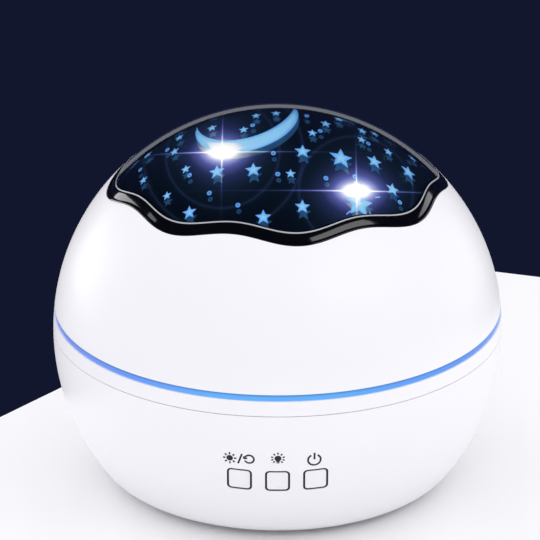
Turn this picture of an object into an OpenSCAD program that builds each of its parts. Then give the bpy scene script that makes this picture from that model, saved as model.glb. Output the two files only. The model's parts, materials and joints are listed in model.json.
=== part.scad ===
// Star night light projector: a white ball on a flat base. A blue light ring runs round
// it under the lift-off cover, whose clear window sits in a wavy black bezel. Inside, a
// gear motor turns a black star dome round two fixed lamps.
// Lengths are in millimetres. Z points up, the front with the buttons faces -Y, and the
// origin is on the floor under the centre of the ball.

/* [Body] */
// Diameter of the ball
body_d = 130; // [124:1:140]
// Distance from the centre of the ball down to its flat underside
base_depth = 42.4; // [41:0.2:46]
// Rounding between the ball and its flat underside
base_round = 10; // [6:0.5:11]
// Wall of the lower shell and of the middle band
shell_wall = 2.2; // [1.8:0.1:2.6]
// Floor of the lower shell
floor_t = 2.4; // [2:0.1:3]
// Height that the feet hold the underside above the floor
foot_h = 1.0; // [0.6:0.1:2]
// Height of the seam over the centre of the ball
seam_rise = 1.65; // [1:0.05:3]
// Open width of the seam
seam_gap = 0.2; // [0.1:0.05:0.3]
// Height of the white band between the seam and the light ring
band_h = 4.3; // [3.8:0.1:6]

/* [Light ring] */
// Height of the light ring that shows
ring_h = 1.9; // [1.6:0.1:3]
// Depth of the light ring behind the surface of the ball
ring_recess = 0.4; // [0.2:0.1:0.6]
// Width of the light ring from its outside to its bore
ring_w = 4.9; // [4.4:0.1:5.4]
// Number of small lamps under the light ring
ring_leds_count = 18; // [12:1:24]

/* [Cover] */
// Wall of the cover
cover_wall = 2.0; // [1.8:0.1:2.2]
// Mean diameter of the wavy opening, measured in its own plane
opening_d = 96.3; // [92:0.5:98]
// Height of each wave of the opening
wave_h = 1.05; // [0.4:0.05:1.6]
// Number of waves
wave_count = 8; // [6:1:12]
// Turn of the first wave from the side, in degrees
wave_turn = 7.2; // [0:0.1:45]
// Backward tilt of the opening, in degrees
opening_tilt = 3.1; // [0:0.1:4]
// Width of the bezel seen along the axis of the opening
bezel_w = 2.65; // [2.4:0.05:3.2]
// Thickness of the bezel where it lies on the ledge of the cover
bezel_t = 1.0; // [0.9:0.05:1.1]
// Width of the ledge under the bezel
bezel_ledge = 1.4; // [1.2:0.1:1.6]
// Thickness of the clear window
window_t = 0.9; // [0.7:0.05:1.0]
// Width of the ledge under the window
window_ledge = 1.3; // [1:0.1:1.8]
// Wall of the short skirt that centres the cover in the light ring
skirt_t = 1.45; // [1.2:0.05:1.7]
// Length of that skirt below the cover
skirt_h = 2.4; // [1.6:0.1:2.6]
// Thickness of the flange round the foot of the cover
flange_t = 1.6; // [1.2:0.1:2.4]

/* [Star dome] */
// Height of the centre of the star dome over the centre of the ball
dome_rise = 2.8; // [2.2:0.1:3]
// Depth of the top of the star dome below the top of the ball
dome_sink = 1.6; // [1.5:0.05:2]
// Gap between the foot of the star dome and the cover round it
dome_side_gap = 2.0; // [1.6:0.1:3]
// Thickness of the black star mask
mask_t = 0.7; // [0.5:0.05:0.9]
// Thickness of the clear dome that carries the mask
film_dome_t = 1.0; // [0.8:0.1:1.4]
// Wall of the straight skirt of that clear dome
film_skirt_t = 1.4; // [1.2:0.1:2]
// Half the width of the crescent moon, seen from the front
moon_half_w = 14.9; // [13:0.1:15.4]
// Half the height of the oval that the moon is cut from
moon_half_h = 8.3; // [7.6:0.1:8.9]
// Half the width of the oval that hollows the moon
moon_hollow_half_w = 14.4; // [13:0.1:14.8]
// Half the height of the oval that hollows the moon
moon_hollow_half_h = 7.8; // [7:0.1:8.2]

/* [Turntable] */
// Gear module
gear_module = 1.0; // [0.95:0.05:1.05]
// Teeth of the ring gear under the turntable
ring_teeth = 84; // [84]
// Teeth of the motor's pinion
pinion_teeth = 12; // [12]
// Height of the gear teeth
gear_face = 4; // [3:0.5:6]
// Thickness of the turntable
turntable_t = 2.0; // [1.6:0.1:3]
// Outer radius of the fixed collar that the turntable runs on
collar_r = 22; // [21:0.5:23]
// Wall of the collar
collar_wall = 3; // [2.4:0.1:4]
// Wall of the turntable's hub
hub_wall = 3.4; // [3:0.1:4]

/* [Motor] */
// Diameter of the motor's can
motor_d = 28; // [24:0.5:30]
// Height of the motor's can
motor_h = 19; // [14:0.5:20]
// Diameter of the motor's shaft
shaft_d = 5; // [4:0.5:5]
// Distance between the motor's two screws
motor_screw_pitch = 35; // [34:0.5:38]

/* [Lamps] */
// Clearance between the lamps' lenses and the dome over them
lamp_clear = 3.1; // [2.6:0.5:8.1]
// Sideways distance of each lamp from the middle
lamp_x = 19.5; // [17:0.5:21]
// Distance of each lamp in front of or behind the middle
lamp_y = 14; // [12:0.5:16]
// Radius of a lamp's lens
lens_r = 5.2; // [4.6:0.1:6]
// Outer radius of the lamp post's column
post_r = 9; // [8:0.5:10]
// Wall of the column
post_wall = 2.5; // [2:0.1:3]

/* [Buttons] */
// Width of a button
button_w = 6.4; // [6:0.1:7.4]
// Height of a button
button_h = 7.1; // [6.5:0.1:8]
// Distance between two buttons
button_pitch = 10.6; // [10.6:0.1:12]
// Angle of the buttons below the middle of the ball, in degrees
button_drop = 17.4; // [17:0.1:21]
// Travel of a button
button_travel = 0.6; // [0.3:0.05:1]
// Open gap round a button
button_gap = 0.3; // [0.2:0.05:0.35]
// Corner radius of a button
button_round = 1.0; // [0.6:0.1:1.6]

/* [Inside of the lower shell] */
// Distance of the case screws' circle inside the edge of the flat underside
case_inset = 3.45; // [2.45:0.5:5.45]
// Outer radius of the case screw posts
case_post_r = 4.5; // [4.2:0.1:5]
// Height of those posts above the floor of the shell
case_post_h = 26.6; // [22:0.2:30]
// Height of the main board above the floor of the shell
board_rise = 16.6; // [14:0.2:18]
// Thickness of the circuit boards
board_t = 1.6; // [1.2:0.2:2]
// Distance of the main board's screws inside its edge
board_screw_inset = 5; // [4:0.5:8]
// Width of the recess for the power inlet
inlet_w = 14; // [12:0.5:16]
// Height of the recess for the power inlet
inlet_h = 8; // [7:0.25:9]
// Depth of the face of the power inlet inside the side of the ball
inlet_depth = 6.8; // [6.2:0.1:7.4]

/* [Fasteners and feet] */
// Shank diameter of the case, motor and lamp post screws
screw_d = 2.6; // [2.4:0.1:2.8]
// Head diameter of those screws
screw_head_d = 5.2; // [4.6:0.1:5.4]
// Shank diameter of the circuit board screws
small_screw_d = 2.0; // [1.8:0.1:2.2]
// Head diameter of the circuit board screws
small_head_d = 3.8; // [3.4:0.1:4]
// Radius of a rubber foot
foot_r = 5; // [4:0.25:6]
// Distance of the feet's circle inside the edge of the flat underside
foot_inset = 8.45; // [7.45:0.5:12.45]

/* [Hidden] */

// Clearances
fit_gap = 0.15;     // between parts that locate each other
seat_gap = 0.05;    // between parts that lift off or slide on each other
run_gap = 0.05;     // running clearance of shafts and hubs, on the radius
screw_gap = 0.05;   // round a screw's shank
glue_gap = 0.1;     // for glue between the window, the bezel and the cover
thrust_gap = 0.1;   // end play of the turntable
over = 1;           // overlap that lets cutters pass right through

// The ball
ball_r = body_d / 2;
centre_z = foot_h + base_depth;
underside_z = foot_h;
floor_z = underside_z + floor_t;
base_flat_r = sqrt(pow(ball_r - base_round, 2) - pow(base_depth - base_round, 2));
inner_r = ball_r - shell_wall;
seam_z = centre_z + seam_rise;
band_z = seam_z + seam_gap;
ring_z = band_z + band_h;
cover_z = ring_z + ring_h + seat_gap;
deck_t = 2;
deck_z = band_z + deck_t;

// Radius of a ball's cross-section at a height above the floor
function ball_section(r, z) = sqrt(r * r - (z - centre_z) * (z - centre_z));

// Band, light ring and skirt, from the outside in
band_bore_r = ball_section(ball_r, ring_z) - shell_wall;
ring_bore_r = ball_section(ball_r, ring_z) - ring_recess - ring_w;
skirt_r = ring_bore_r - fit_gap - seat_gap;
flange_bore_r = skirt_r - skirt_t;
spigot_h = 3;
spigot_t = 1.6;
spigot_r = min(ball_section(inner_r, seam_z), ball_section(inner_r, seam_z - spigot_h)) - fit_gap;

// Star dome, from the outside in
dome_z = centre_z + dome_rise;
dome_r = ball_r - dome_rise - dome_sink;
dome_edge_r = flange_bore_r - dome_side_gap;
mask_z = dome_z + sqrt(dome_r * dome_r - dome_edge_r * dome_edge_r);
film_r = dome_r - mask_t - glue_gap;
film_ledge = 0.6;
film_ledge_h = 1.4;
film_skirt_r = dome_edge_r - film_ledge;
locating_rim_h = 3;
locating_rim_t = 1.6;

// Turntable and its gear, from the deck up
gear_lift = 1.5;
gear_z = deck_z + gear_lift;
turntable_z = gear_z + gear_face;
turntable_top = turntable_z + turntable_t;
shoulder_z = gear_z + 1.2;
hub_r = collar_r + hub_wall;
hub_top = turntable_top + 2;
collar_top = hub_top + 2 * thrust_gap;
pinion_distance = gear_module * (ring_teeth - pinion_teeth) / 2;
gear_rim_t = 2.6;
pinion_z = gear_z + 0.2;
pinion_top = turntable_z - 0.3;
backlash = 0.1;
pressure_angle = 20;

// Motor
motor_boss_r = 4.5;
motor_ear_t = 0.8;
motor_ear_r = 3.5;
motor_bore_h = 8;

// Lamps
lamp_plate_t = 2;
lamp_plate_r = norm([lamp_x, lamp_y]) + lens_r + 0.8;
led_h = 1.0;
lens_foot_h = 2;
lens_bulge_r = lens_r - 0.4;
lamp_top_z = dome_z + sqrt(pow(film_r - film_dome_t, 2) - lamp_plate_r * lamp_plate_r)
             - lamp_clear - lens_bulge_r - lens_foot_h;
lamp_board_z = lamp_top_z - board_t;
lamp_plate_z = lamp_board_z - lamp_plate_t;
post_flange_t = 1.6;
post_screw_circle_r = collar_r - collar_wall - 2.4;
post_boss_r = 3.2;

// Small lamps under the light ring
ring_board_t = 1.0;
ring_board_r = ring_bore_r + 0.1;
ring_board_edge_r = band_bore_r - fit_gap;
ring_led_w = 1.6;
ring_led_h = 0.9;

// Buttons. Their local frame has its origin at the centre of the ball and its z axis
// along the press axis, outwards
flange_lip = 1.25;
pad_wall = 0.6;
half_flange_w = button_w / 2 + flange_lip;
half_flange_h = button_h / 2 + flange_lip;
pad_x = button_pitch + half_flange_w + 0.8;
pad_y = half_flange_h + 0.8;
pad_z = sqrt(inner_r * inner_r - pow(button_pitch + half_flange_w, 2) - pow(half_flange_h, 2)) - pad_wall;
cap_flange_t = 1.2;
cap_stem_r = 1.6;
cap_stem_h = 1.1;
plunger_r = 1.7;
plunger_h = 0.6;
switch_w = 6;
switch_h = 3.4;
cap_z = pad_z - seat_gap - cap_flange_t - cap_stem_h;
plunger_z = cap_z - button_travel - seat_gap;
switch_z = plunger_z - plunger_h - switch_h;
button_board_z = switch_z - board_t;
button_post_r = 2.4;
button_post_x = button_pitch + half_flange_w + 0.5 + button_post_r;
button_board_w = 2 * (button_post_x + 3);
button_board_h = 14;

// Main board and power inlet
case_circle_r = base_flat_r - case_inset;
foot_circle_r = base_flat_r - foot_inset;
inlet_y = ball_r - inlet_depth;
main_board_z = floor_z + board_rise;
main_board_top = main_board_z + board_t;
main_board_r = case_circle_r - case_post_r - 2.5;
board_front_y = 6 - main_board_r;
board_post_r = 2.6;
board_screw_r = main_board_r - board_screw_inset;
socket_w = 8.9;
socket_h = 3.2;
socket_l = 7.3;
socket_wall = 0.3;
inlet_web = 2;
socket_y = inlet_y - inlet_web;
socket_z = main_board_top + socket_h / 2;
plug_gap = 0.2;

// Case screws
case_web = 3;
case_split_z = floor_z + case_post_h;
case_well_r = screw_head_d / 2 + 0.4;
case_grip = 8;
screw_head_h = 2;
small_head_h = 1.4;
small_grip = 5;
foot_recess = 0.8;

// Screw positions
case_spots = [for (k = [0:3]) case_circle_r * [cos(45 + 90 * k), sin(45 + 90 * k)]];
foot_spots = [for (k = [0:3]) foot_circle_r * [cos(90 * k), sin(90 * k)]];
board_spots = [for (k = [0:3]) board_screw_r * [cos(45 + 90 * k), sin(45 + 90 * k)]];
post_spots = [for (k = [0:2]) post_screw_circle_r * [cos(30 + 120 * k), sin(30 + 120 * k)]];
motor_spots = [for (s = [-1, 1]) [-pinion_distance, s * motor_screw_pitch / 2]];
lamp_spots = [[-lamp_x, lamp_y], [lamp_x, -lamp_y]];
lamp_screw_spots = [[lamp_y, lamp_x], [-lamp_y, -lamp_x]];
ring_led_r = (ring_board_r + ring_board_edge_r) / 2;

// Connectors on the main board: x and y of each
lamp_plug = [0, 0];
motor_plug = [-8, 10];
button_plug = [0, board_front_y + 10];
ring_plug = [main_board_r - 14, 6];
plug_size = [6, 4.6, 5];
plug_top = main_board_top + plug_size.z;

// Wires
wire_r = 1.1;
lamp_wire_r = 1.6;
ring_wire_r = 0.7;
ring_wire_x = spigot_r - spigot_t - ring_wire_r - 0.1;
button_normal = [0, -cos(button_drop), -sin(button_drop)];

// Star motifs on the dome: azimuth from the front towards +X, angle from the top, radius
big_stars = [[49, 23, 3.4], [38, 37, 3.9], [140, 30, 3.6], [-150, 38, 3.6], [-125, 54, 3.2]];
mid_stars = [[-38, 27, 2.3], [-16, 24, 2.4], [-38, 41, 2.2], [-6, 39, 2.3], [22, 17, 2.4],
             [11, 36, 2.2], [67, 29, 2.4], [79, 38, 2.6], [59, 38, 2.2], [120, 40, 2.4],
             [165, 42, 2.2], [-170, 28, 2.4], [-128, 36, 2.2], [-72, 50, 2.2], [-20, 52, 2.2],
             [28, 52, 2.4], [75, 52, 2.2], [118, 55, 2.4], [160, 56, 2.2], [-158, 55, 2.4]];
small_stars = [[-95, 18, 1.5], [-65, 10, 1.4], [-130, 8, 1.4], [-177, 6, 1.4],
               [-76, 40, 1.5], [-101, 38, 1.5], [-81, 29, 1.5], [-58, 30, 1.5],
               [7, 25, 1.5], [-54, 39, 1.5], [99, 13, 1.6], [126, 20, 1.5], [56, 11, 1.5],
               [104, 24, 1.5], [86, 23, 1.4], [87, 31, 1.5], [100, 45, 1.5], [150, 18, 1.5],
               [-140, 28, 1.5], [180, 36, 1.5], [-90, 52, 1.5], [-46, 53, 1.5], [4, 53, 1.5],
               [52, 54, 1.5], [96, 56, 1.5], [140, 50, 1.5], [-178, 52, 1.5], [-108, 54, 1.5]];
dots = [[-76, 7], [-91, 33], [-88, 43], [-51, 31], [-4, 17], [0, 28], [-34, 34], [-18, 36],
        [71, 14], [84, 27], [28, 29], [45, 30], [57, 44], [120, 18], [127, 47], [-160, 46],
        [-140, 46], [172, 22], [-116, 46], [-60, 56], [-32, 58], [16, 58], [40, 47], [84, 46]];
dot_r = 0.65;
print_lean = 24;
moon_spot = dome_r * [-0.1441, 0.9053];
moon_turn = 15.2;
moon_hollow_spot = dome_r * [-0.1507, 0.9614];
moon_hollow_turn = 18;

// ---------- shared shapes ----------

module ball(r) {
    translate([0, 0, centre_z]) sphere(r = r, $fn = 180);
}

module disc(r, z0, z1) {
    translate([0, 0, z0]) cylinder(r = r, h = z1 - z0, $fn = 144);
}

module ring(r_out, r_in, z0, z1) {
    difference() {
        disc(r_out, z0, z1);
        disc(r_in, z0 - over, z1 + over);
    }
}

// A slab that keeps everything between two heights
module slab(z0, z1) {
    translate([-ball_r - over, -ball_r - over, z0])
        cube([body_d + 2 * over, body_d + 2 * over, z1 - z0]);
}

module peg(spot, r, z0, z1) {
    translate([spot.x, spot.y, z0]) cylinder(r = r, h = z1 - z0, $fn = 48);
}

// Corner points of a rectangle with round corners
function rounded_rect(w, h, r, steps = 5) =
    [for (q = [0:3], s = [0:steps])
        let (a = 90 * q + 90 * s / steps,
             cx = (w / 2 - r) * (q == 0 || q == 3 ? 1 : -1),
             cy = (h / 2 - r) * (q < 2 ? 1 : -1))
        [cx + r * cos(a), cy + r * sin(a)]];

module block(w, h, r, z0, z1) {
    translate([0, 0, z0]) linear_extrude(z1 - z0) polygon(rounded_rect(w, h, r));
}

// A screw that points along +z, with its head below z = 0
module screw(d, head_d, head_h, length) {
    difference() {
        translate([0, 0, -head_h]) cylinder(d = head_d, h = head_h, $fn = 32);
        translate([0, 0, -head_h - over])
            cylinder(d = head_d * 0.45, h = over + head_h * 0.6, $fn = 6);
    }
    cylinder(d = d, h = length, $fn = 32);
}

// ---------- shells ----------

// A ball whose flat underside has a rounded edge, up to a flat top
module bowl(r, bottom_z, edge_r, top_z) {
    reach = r - edge_r;
    edge_z = bottom_z + edge_r;
    edge_x = sqrt(reach * reach - (edge_z - centre_z) * (edge_z - centre_z));
    tangent_z = centre_z + (edge_z - centre_z) * r / reach;
    start = atan2(edge_z - centre_z, edge_x);
    steps = 12;
    intersection() {
        ball(r);
        slab(tangent_z, top_z);
    }
    rotate_extrude($fn = 180)
        polygon(concat(
            [[0, bottom_z]],
            [for (k = [0:steps])
                let (a = -90 + (start + 90) * k / steps)
                [edge_x + edge_r * cos(a), edge_z + edge_r * sin(a)]],
            [[0, tangent_z]]));
}

module at_buttons() {
    translate([0, 0, centre_z]) rotate([90 + button_drop, 0, 0]) children();
}

// Flat pad behind the three buttons, with a post at each end for their circuit board
module button_pad() {
    intersection() {
        ball(ball_r - shell_wall / 2);
        at_buttons() {
            translate([-pad_x, -pad_y, pad_z]) cube([2 * pad_x, 2 * pad_y, ball_r - pad_z]);
            for (s = [-1, 1]) translate([s * button_post_x, 0, switch_z])
                cylinder(r = button_post_r, h = ball_r - switch_z, $fn = 32);
        }
    }
}

// Wall behind the recess for the power inlet
module inlet_boss() {
    intersection() {
        ball(ball_r - shell_wall / 2);
        translate([-inlet_w / 2 - 2, socket_y, socket_z - inlet_h / 2 - 2])
            cube([inlet_w + 4, ball_r - socket_y, inlet_h + 4]);
    }
}

module inlet_cut() {
    translate([0, ball_r + over, socket_z]) rotate([90, 0, 0]) {
        block(inlet_w, inlet_h, 1.5, 0, ball_r + over - inlet_y);
        block(socket_w + 2 * plug_gap, socket_h + 2 * plug_gap, socket_h / 2 + plug_gap,
              0, ball_r + 2 * over - socket_y);
    }
}

module lower_shell() {
    color("white") difference() {
        union() {
            difference() {
                bowl(ball_r, underside_z, base_round, seam_z);
                bowl(inner_r, floor_z, base_round - floor_t, seam_z + over);
            }
            for (p = case_spots) peg(p, case_post_r, floor_z - 0.5, case_split_z);
            for (p = board_spots) peg(p, board_post_r, floor_z - 0.5, main_board_z);
            button_pad();
            inlet_boss();
        }
        for (p = case_spots) {
            peg(p, case_well_r, underside_z - over, case_split_z - case_web);
            peg(p, screw_d / 2 + screw_gap, underside_z, case_split_z + over);
        }
        for (p = board_spots)
            peg(p, small_screw_d / 2 + screw_gap, main_board_z - small_grip - 0.5, main_board_z + over);
        for (p = foot_spots) peg(p, foot_r + fit_gap, underside_z - over, underside_z + foot_recess);
        at_buttons() {
            for (k = [-1:1]) translate([k * button_pitch, 0, 0])
                block(button_w + 2 * button_gap, button_h + 2 * button_gap,
                      button_round + button_gap, pad_z - over, ball_r + over);
            for (s = [-1, 1]) translate([s * button_post_x, 0, switch_z - over])
                cylinder(r = small_screw_d / 2 + screw_gap, h = over + small_grip, $fn = 32);
        }
        inlet_cut();
    }
}

module middle_band() {
    color("white") difference() {
        union() {
            difference() {
                intersection() {
                    ball(ball_r);
                    slab(band_z, ring_z);
                }
                disc(band_bore_r, band_z - over, ring_z + over);
            }
            disc(band_bore_r + 0.5, band_z, deck_z);
            ring(spigot_r, spigot_r - spigot_t, seam_z - spigot_h, band_z + 0.5);
            ring(collar_r, collar_r - collar_wall, deck_z - 0.5, collar_top);
            ring(hub_r, collar_r - 0.5, deck_z - 0.5, shoulder_z);
            for (p = case_spots) peg(p, case_post_r, case_split_z, band_z + 0.5);
            for (p = post_spots) peg(p, post_boss_r, deck_z - 0.5, collar_top);
            for (p = motor_spots) peg(p, post_boss_r, deck_z - 0.5, gear_z - 0.4);
        }
        for (p = case_spots)
            peg(p, screw_d / 2 + screw_gap, case_split_z - over, case_split_z + case_grip);
        for (p = post_spots)
            peg(p, screw_d / 2 + screw_gap, collar_top - case_grip, collar_top + over);
        for (p = motor_spots)
            peg(p, screw_d / 2 + screw_gap, band_z - over, gear_z - 0.8);
        peg([0, 0], post_r - post_wall + 1, band_z - over, deck_z + over);
        peg([-pinion_distance, 0], motor_boss_r + fit_gap, band_z - over, deck_z + over);
        peg([ring_wire_x, 0], ring_wire_r + 0.2, band_z - over, deck_z + over);
    }
}

module light_ring() {
    color("deepskyblue") difference() {
        intersection() {
            ball(ball_r - ring_recess);
            slab(ring_z, ring_z + ring_h);
        }
        disc(ring_bore_r, ring_z - over, ring_z + ring_h + over);
    }
}

// ---------- cover with its wavy opening ----------

// Everything within the wavy outline, seen along the tilted axis of the opening
module wavy_prism(mean_r) {
    points = wave_count * 12;
    translate([0, 0, centre_z]) rotate([-opening_tilt, 0, 0])
        linear_extrude(ball_r + 5)
            polygon([for (k = [0:points - 1])
                let (a = 360 * k / points, r = mean_r + wave_h * cos(wave_count * (a - wave_turn)))
                [r * cos(a), r * sin(a)]]);
}

bezel_outer_r = opening_d / 2 - glue_gap;
bezel_ledge_r = opening_d / 2 - bezel_ledge;
window_edge_r = opening_d / 2 - bezel_w;

module upper_shell() {
    color("white") difference() {
        intersection() {
            ball(ball_r);
            slab(cover_z, centre_z + ball_r + over);
        }
        intersection() {
            ball(ball_r - cover_wall);
            slab(cover_z + flange_t, centre_z + ball_r);
        }
        disc(flange_bore_r, cover_z - over, cover_z + flange_t + over);
        difference() {
            wavy_prism(opening_d / 2);
            ball(ball_r - bezel_t - glue_gap);
        }
        wavy_prism(bezel_ledge_r);
    }
    color("white") ring(skirt_r, flange_bore_r, cover_z - skirt_h, cover_z + flange_t);
}

module bezel() {
    color("black") difference() {
        intersection() {
            ball(ball_r);
            wavy_prism(bezel_outer_r);
        }
        ball(ball_r - cover_wall);
        difference() {
            ball(ball_r - bezel_t);
            wavy_prism(bezel_ledge_r - glue_gap);
        }
        difference() {
            wavy_prism(window_edge_r);
            ball(ball_r - bezel_t);
        }
        wavy_prism(window_edge_r - window_ledge);
    }
}

module dome_window() {
    color("lightgray", 0.35) difference() {
        intersection() {
            ball(ball_r);
            wavy_prism(window_edge_r - glue_gap);
        }
        ball(ball_r - window_t);
    }
}

// ---------- star dome ----------

// Turns a cutter towards a spot on the star dome: azimuth from the front and angle from the top
module towards(spot) {
    translate([0, 0, dome_z]) rotate([0, 0, spot[0]]) rotate([spot[1], 0, 0]) children();
}

// Turn that stands a star upright in the front view; stars behind point to the top of the dome
function upright(spot) =
    let (out = [sin(spot[1]) * sin(spot[0]), -sin(spot[1]) * cos(spot[0]), cos(spot[1])],
         rise = [0, sin(print_lean), cos(print_lean)],
         line = [0, cos(print_lean), -sin(print_lean)],
         along = rise - line * (rise * out) / min(line * out, -0.1),
         side = [cos(spot[0]), sin(spot[0]), 0])
    line * out > -0.1 ? 0 : atan2(-along * side, along * cross(out, side));

// An oval column along the slanted line from the front, through the front of the dome
module moon_column(spot, turn, half_w, half_h) {
    translate([0, 0, dome_z]) rotate([90 - print_lean, 0, 0]) translate(spot) rotate([0, 0, turn])
        linear_extrude(dome_r) scale([half_w / half_h, 1]) circle(r = half_h, $fn = 128);
}

module star_cut(spot, r) {
    towards(spot) rotate([0, 0, upright(spot)]) translate([0, 0, dome_r - 4]) linear_extrude(8)
        polygon([for (k = [0:9]) let (q = k % 2 == 0 ? r : r * 0.48) q * [sin(36 * k), cos(36 * k)]]);
}

module star_mask() {
    color("#14151a") difference() {
        translate([0, 0, dome_z]) sphere(r = dome_r, $fn = 180);
        translate([0, 0, dome_z]) sphere(r = dome_r - mask_t, $fn = 180);
        slab(dome_z - dome_r - over, mask_z);
        for (s = concat(big_stars, mid_stars, small_stars)) star_cut(s, s[2]);
        for (s = dots) towards(s) translate([0, 0, dome_r - 4]) cylinder(r = dot_r, h = 8, $fn = 6);
        difference() {
            moon_column(moon_spot, moon_turn, moon_half_w, moon_half_h);
            moon_column(moon_hollow_spot, moon_hollow_turn, moon_hollow_half_w, moon_hollow_half_h);
        }
    }
}

module film_dome() {
    color("#4aa0f0", 0.6) difference() {
        union() {
            intersection() {
                translate([0, 0, dome_z]) sphere(r = film_r, $fn = 180);
                disc(film_skirt_r, turntable_top, dome_z + film_r + over);
            }
            ring(dome_edge_r, film_skirt_r - 0.6, mask_z - seat_gap - film_ledge_h, mask_z - seat_gap);
        }
        intersection() {
            translate([0, 0, dome_z]) sphere(r = film_r - film_dome_t, $fn = 180);
            disc(film_skirt_r - film_skirt_t, turntable_top - over, dome_z + film_r);
        }
    }
}

// ---------- turntable and drive ----------

// Half the angle that a tooth fills at radius r, for an involute of the given pitch radius
function involute(a) = tan(a) * 180 / PI - a;
function tooth_angle(r, pitch_r, teeth) =
    90 / teeth - backlash / pitch_r * 90 / PI + involute(pressure_angle)
    - involute(acos(min(1, pitch_r * cos(pressure_angle) / r)));
function space_angle(r, pitch_r, teeth) =
    90 / teeth + backlash / pitch_r * 90 / PI + involute(pressure_angle)
    - involute(acos(min(1, pitch_r * cos(pressure_angle) / r)));

ring_pitch_r = gear_module * ring_teeth / 2;
pinion_pitch_r = gear_module * pinion_teeth / 2;

// Outline of the bore with its inward teeth; the space at each end faces the pinion
function ring_gear_points() =
    let (tip = ring_pitch_r - 0.8 * gear_module, root = ring_pitch_r + 1.15 * gear_module,
         at_tip = space_angle(tip, ring_pitch_r, ring_teeth),
         at_root = space_angle(root, ring_pitch_r, ring_teeth))
    [for (k = [0:ring_teeth - 1], q = [[-at_tip, tip], [-at_root, root], [at_root, root], [at_tip, tip]])
        let (a = 360 * k / ring_teeth + q[0]) [q[1] * cos(a), q[1] * sin(a)]];

function pinion_points() =
    let (root = pinion_pitch_r - 1.15 * gear_module, tip = pinion_pitch_r + 0.8 * gear_module,
         radii = [root, pinion_pitch_r * 0.96, pinion_pitch_r * 1.04, tip])
    [for (k = [0:pinion_teeth - 1], s = [0:7])
        let (r = radii[s < 4 ? s : 7 - s], half = tooth_angle(r, pinion_pitch_r, pinion_teeth),
             a = 360 * k / pinion_teeth + (s < 4 ? -half : half))
        [r * cos(a), r * sin(a)]];

module turntable() {
    color("white") difference() {
        union() {
            disc(film_skirt_r, turntable_z, turntable_top);
            disc(hub_r, shoulder_z + thrust_gap, hub_top);
            disc(ring_pitch_r + gear_rim_t + gear_module, gear_z, turntable_top);
            ring(film_skirt_r - film_skirt_t - fit_gap,
                 film_skirt_r - film_skirt_t - fit_gap - locating_rim_t,
                 turntable_z, turntable_top + locating_rim_h);
        }
        disc(collar_r + run_gap, gear_z - over, hub_top + over);
        disc(hub_r + over, gear_z - over, shoulder_z + thrust_gap);
        difference() {
            translate([0, 0, gear_z - over]) linear_extrude(gear_face + over)
                polygon(ring_gear_points());
            disc(hub_r, gear_z - 2 * over, turntable_z + over);
        }
    }
}

module drive_pinion() {
    color("ivory") translate([-pinion_distance, 0, pinion_z]) difference() {
        linear_extrude(pinion_top - pinion_z) polygon(pinion_points());
        translate([0, 0, -over]) cylinder(d = shaft_d + 2 * screw_gap, h = gear_face + 2 * over, $fn = 48);
    }
}

module motor_shaft() {
    color("silver") peg([-pinion_distance, 0], shaft_d / 2, band_z - motor_bore_h + thrust_gap, pinion_top);
}

module gear_motor() {
    color("silver") difference() {
        union() {
            peg([-pinion_distance, 0], motor_d / 2, band_z - motor_h, band_z);
            peg([-pinion_distance, 0], motor_boss_r, band_z - 0.5, deck_z);
            translate([-pinion_distance - motor_ear_r, -motor_screw_pitch / 2, band_z - motor_ear_t])
                cube([2 * motor_ear_r, motor_screw_pitch, motor_ear_t]);
            for (p = motor_spots) peg(p, motor_ear_r, band_z - motor_ear_t, band_z);
        }
        for (p = motor_spots) peg(p, screw_d / 2 + screw_gap, band_z - motor_ear_t - over, band_z + over);
        peg([-pinion_distance, 0], shaft_d / 2 + run_gap, band_z - motor_bore_h, deck_z + over);
    }
}

module motor_screws() {
    color("dimgray") for (p = motor_spots) translate([p.x, p.y, band_z - motor_ear_t])
        screw(screw_d, screw_head_d, screw_head_h, gear_z - 0.9 - band_z + motor_ear_t);
}

// ---------- lamps ----------

module lamp_post() {
    color("white") difference() {
        union() {
            disc(hub_r, collar_top, collar_top + post_flange_t);
            disc(post_r, collar_top, lamp_plate_z + 0.5);
            disc(lamp_plate_r, lamp_plate_z, lamp_board_z);
        }
        disc(post_r - post_wall, collar_top - over, lamp_board_z + over);
        for (p = post_spots)
            peg(p, screw_d / 2 + screw_gap, collar_top - over, collar_top + post_flange_t + over);
        for (p = lamp_screw_spots)
            peg(p, small_screw_d / 2 + screw_gap, lamp_plate_z - over, lamp_board_z + over);
    }
}

module lamp_post_screws() {
    color("dimgray") for (p = post_spots)
        translate([p.x, p.y, collar_top + post_flange_t]) rotate([180, 0, 0])
            screw(screw_d, screw_head_d, screw_head_h, post_flange_t + case_grip - 0.5);
}

module lamp_board() {
    color("white") difference() {
        disc(lamp_plate_r - 0.5, lamp_board_z, lamp_top_z);
        for (p = lamp_screw_spots)
            peg(p, small_screw_d / 2 + screw_gap, lamp_board_z - over, lamp_top_z + over);
    }
}

module lamp_board_screws() {
    color("dimgray") for (p = lamp_screw_spots)
        translate([p.x, p.y, lamp_top_z]) rotate([180, 0, 0])
            screw(small_screw_d, small_head_d, small_head_h, board_t + lamp_plate_t - 0.3);
}

module lamp_leds() {
    color("gold") for (p = lamp_spots) translate([p.x, p.y, 0])
        block(5, 5, 0.4, lamp_top_z, lamp_top_z + led_h);
}

module lamp_lenses() {
    color("aliceblue", 0.5) for (p = lamp_spots) difference() {
        union() {
            peg(p, lens_r, lamp_top_z, lamp_top_z + lens_foot_h);
            intersection() {
                translate([p.x, p.y, lamp_top_z + lens_foot_h]) sphere(r = lens_bulge_r, $fn = 64);
                slab(lamp_top_z + lens_foot_h - 0.5, lamp_top_z + lens_foot_h + lens_r);
            }
        }
        peg(p, lens_r - 1.3, lamp_top_z - over, lamp_top_z + led_h + 0.4);
    }
}

// ---------- lamps of the light ring ----------

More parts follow.
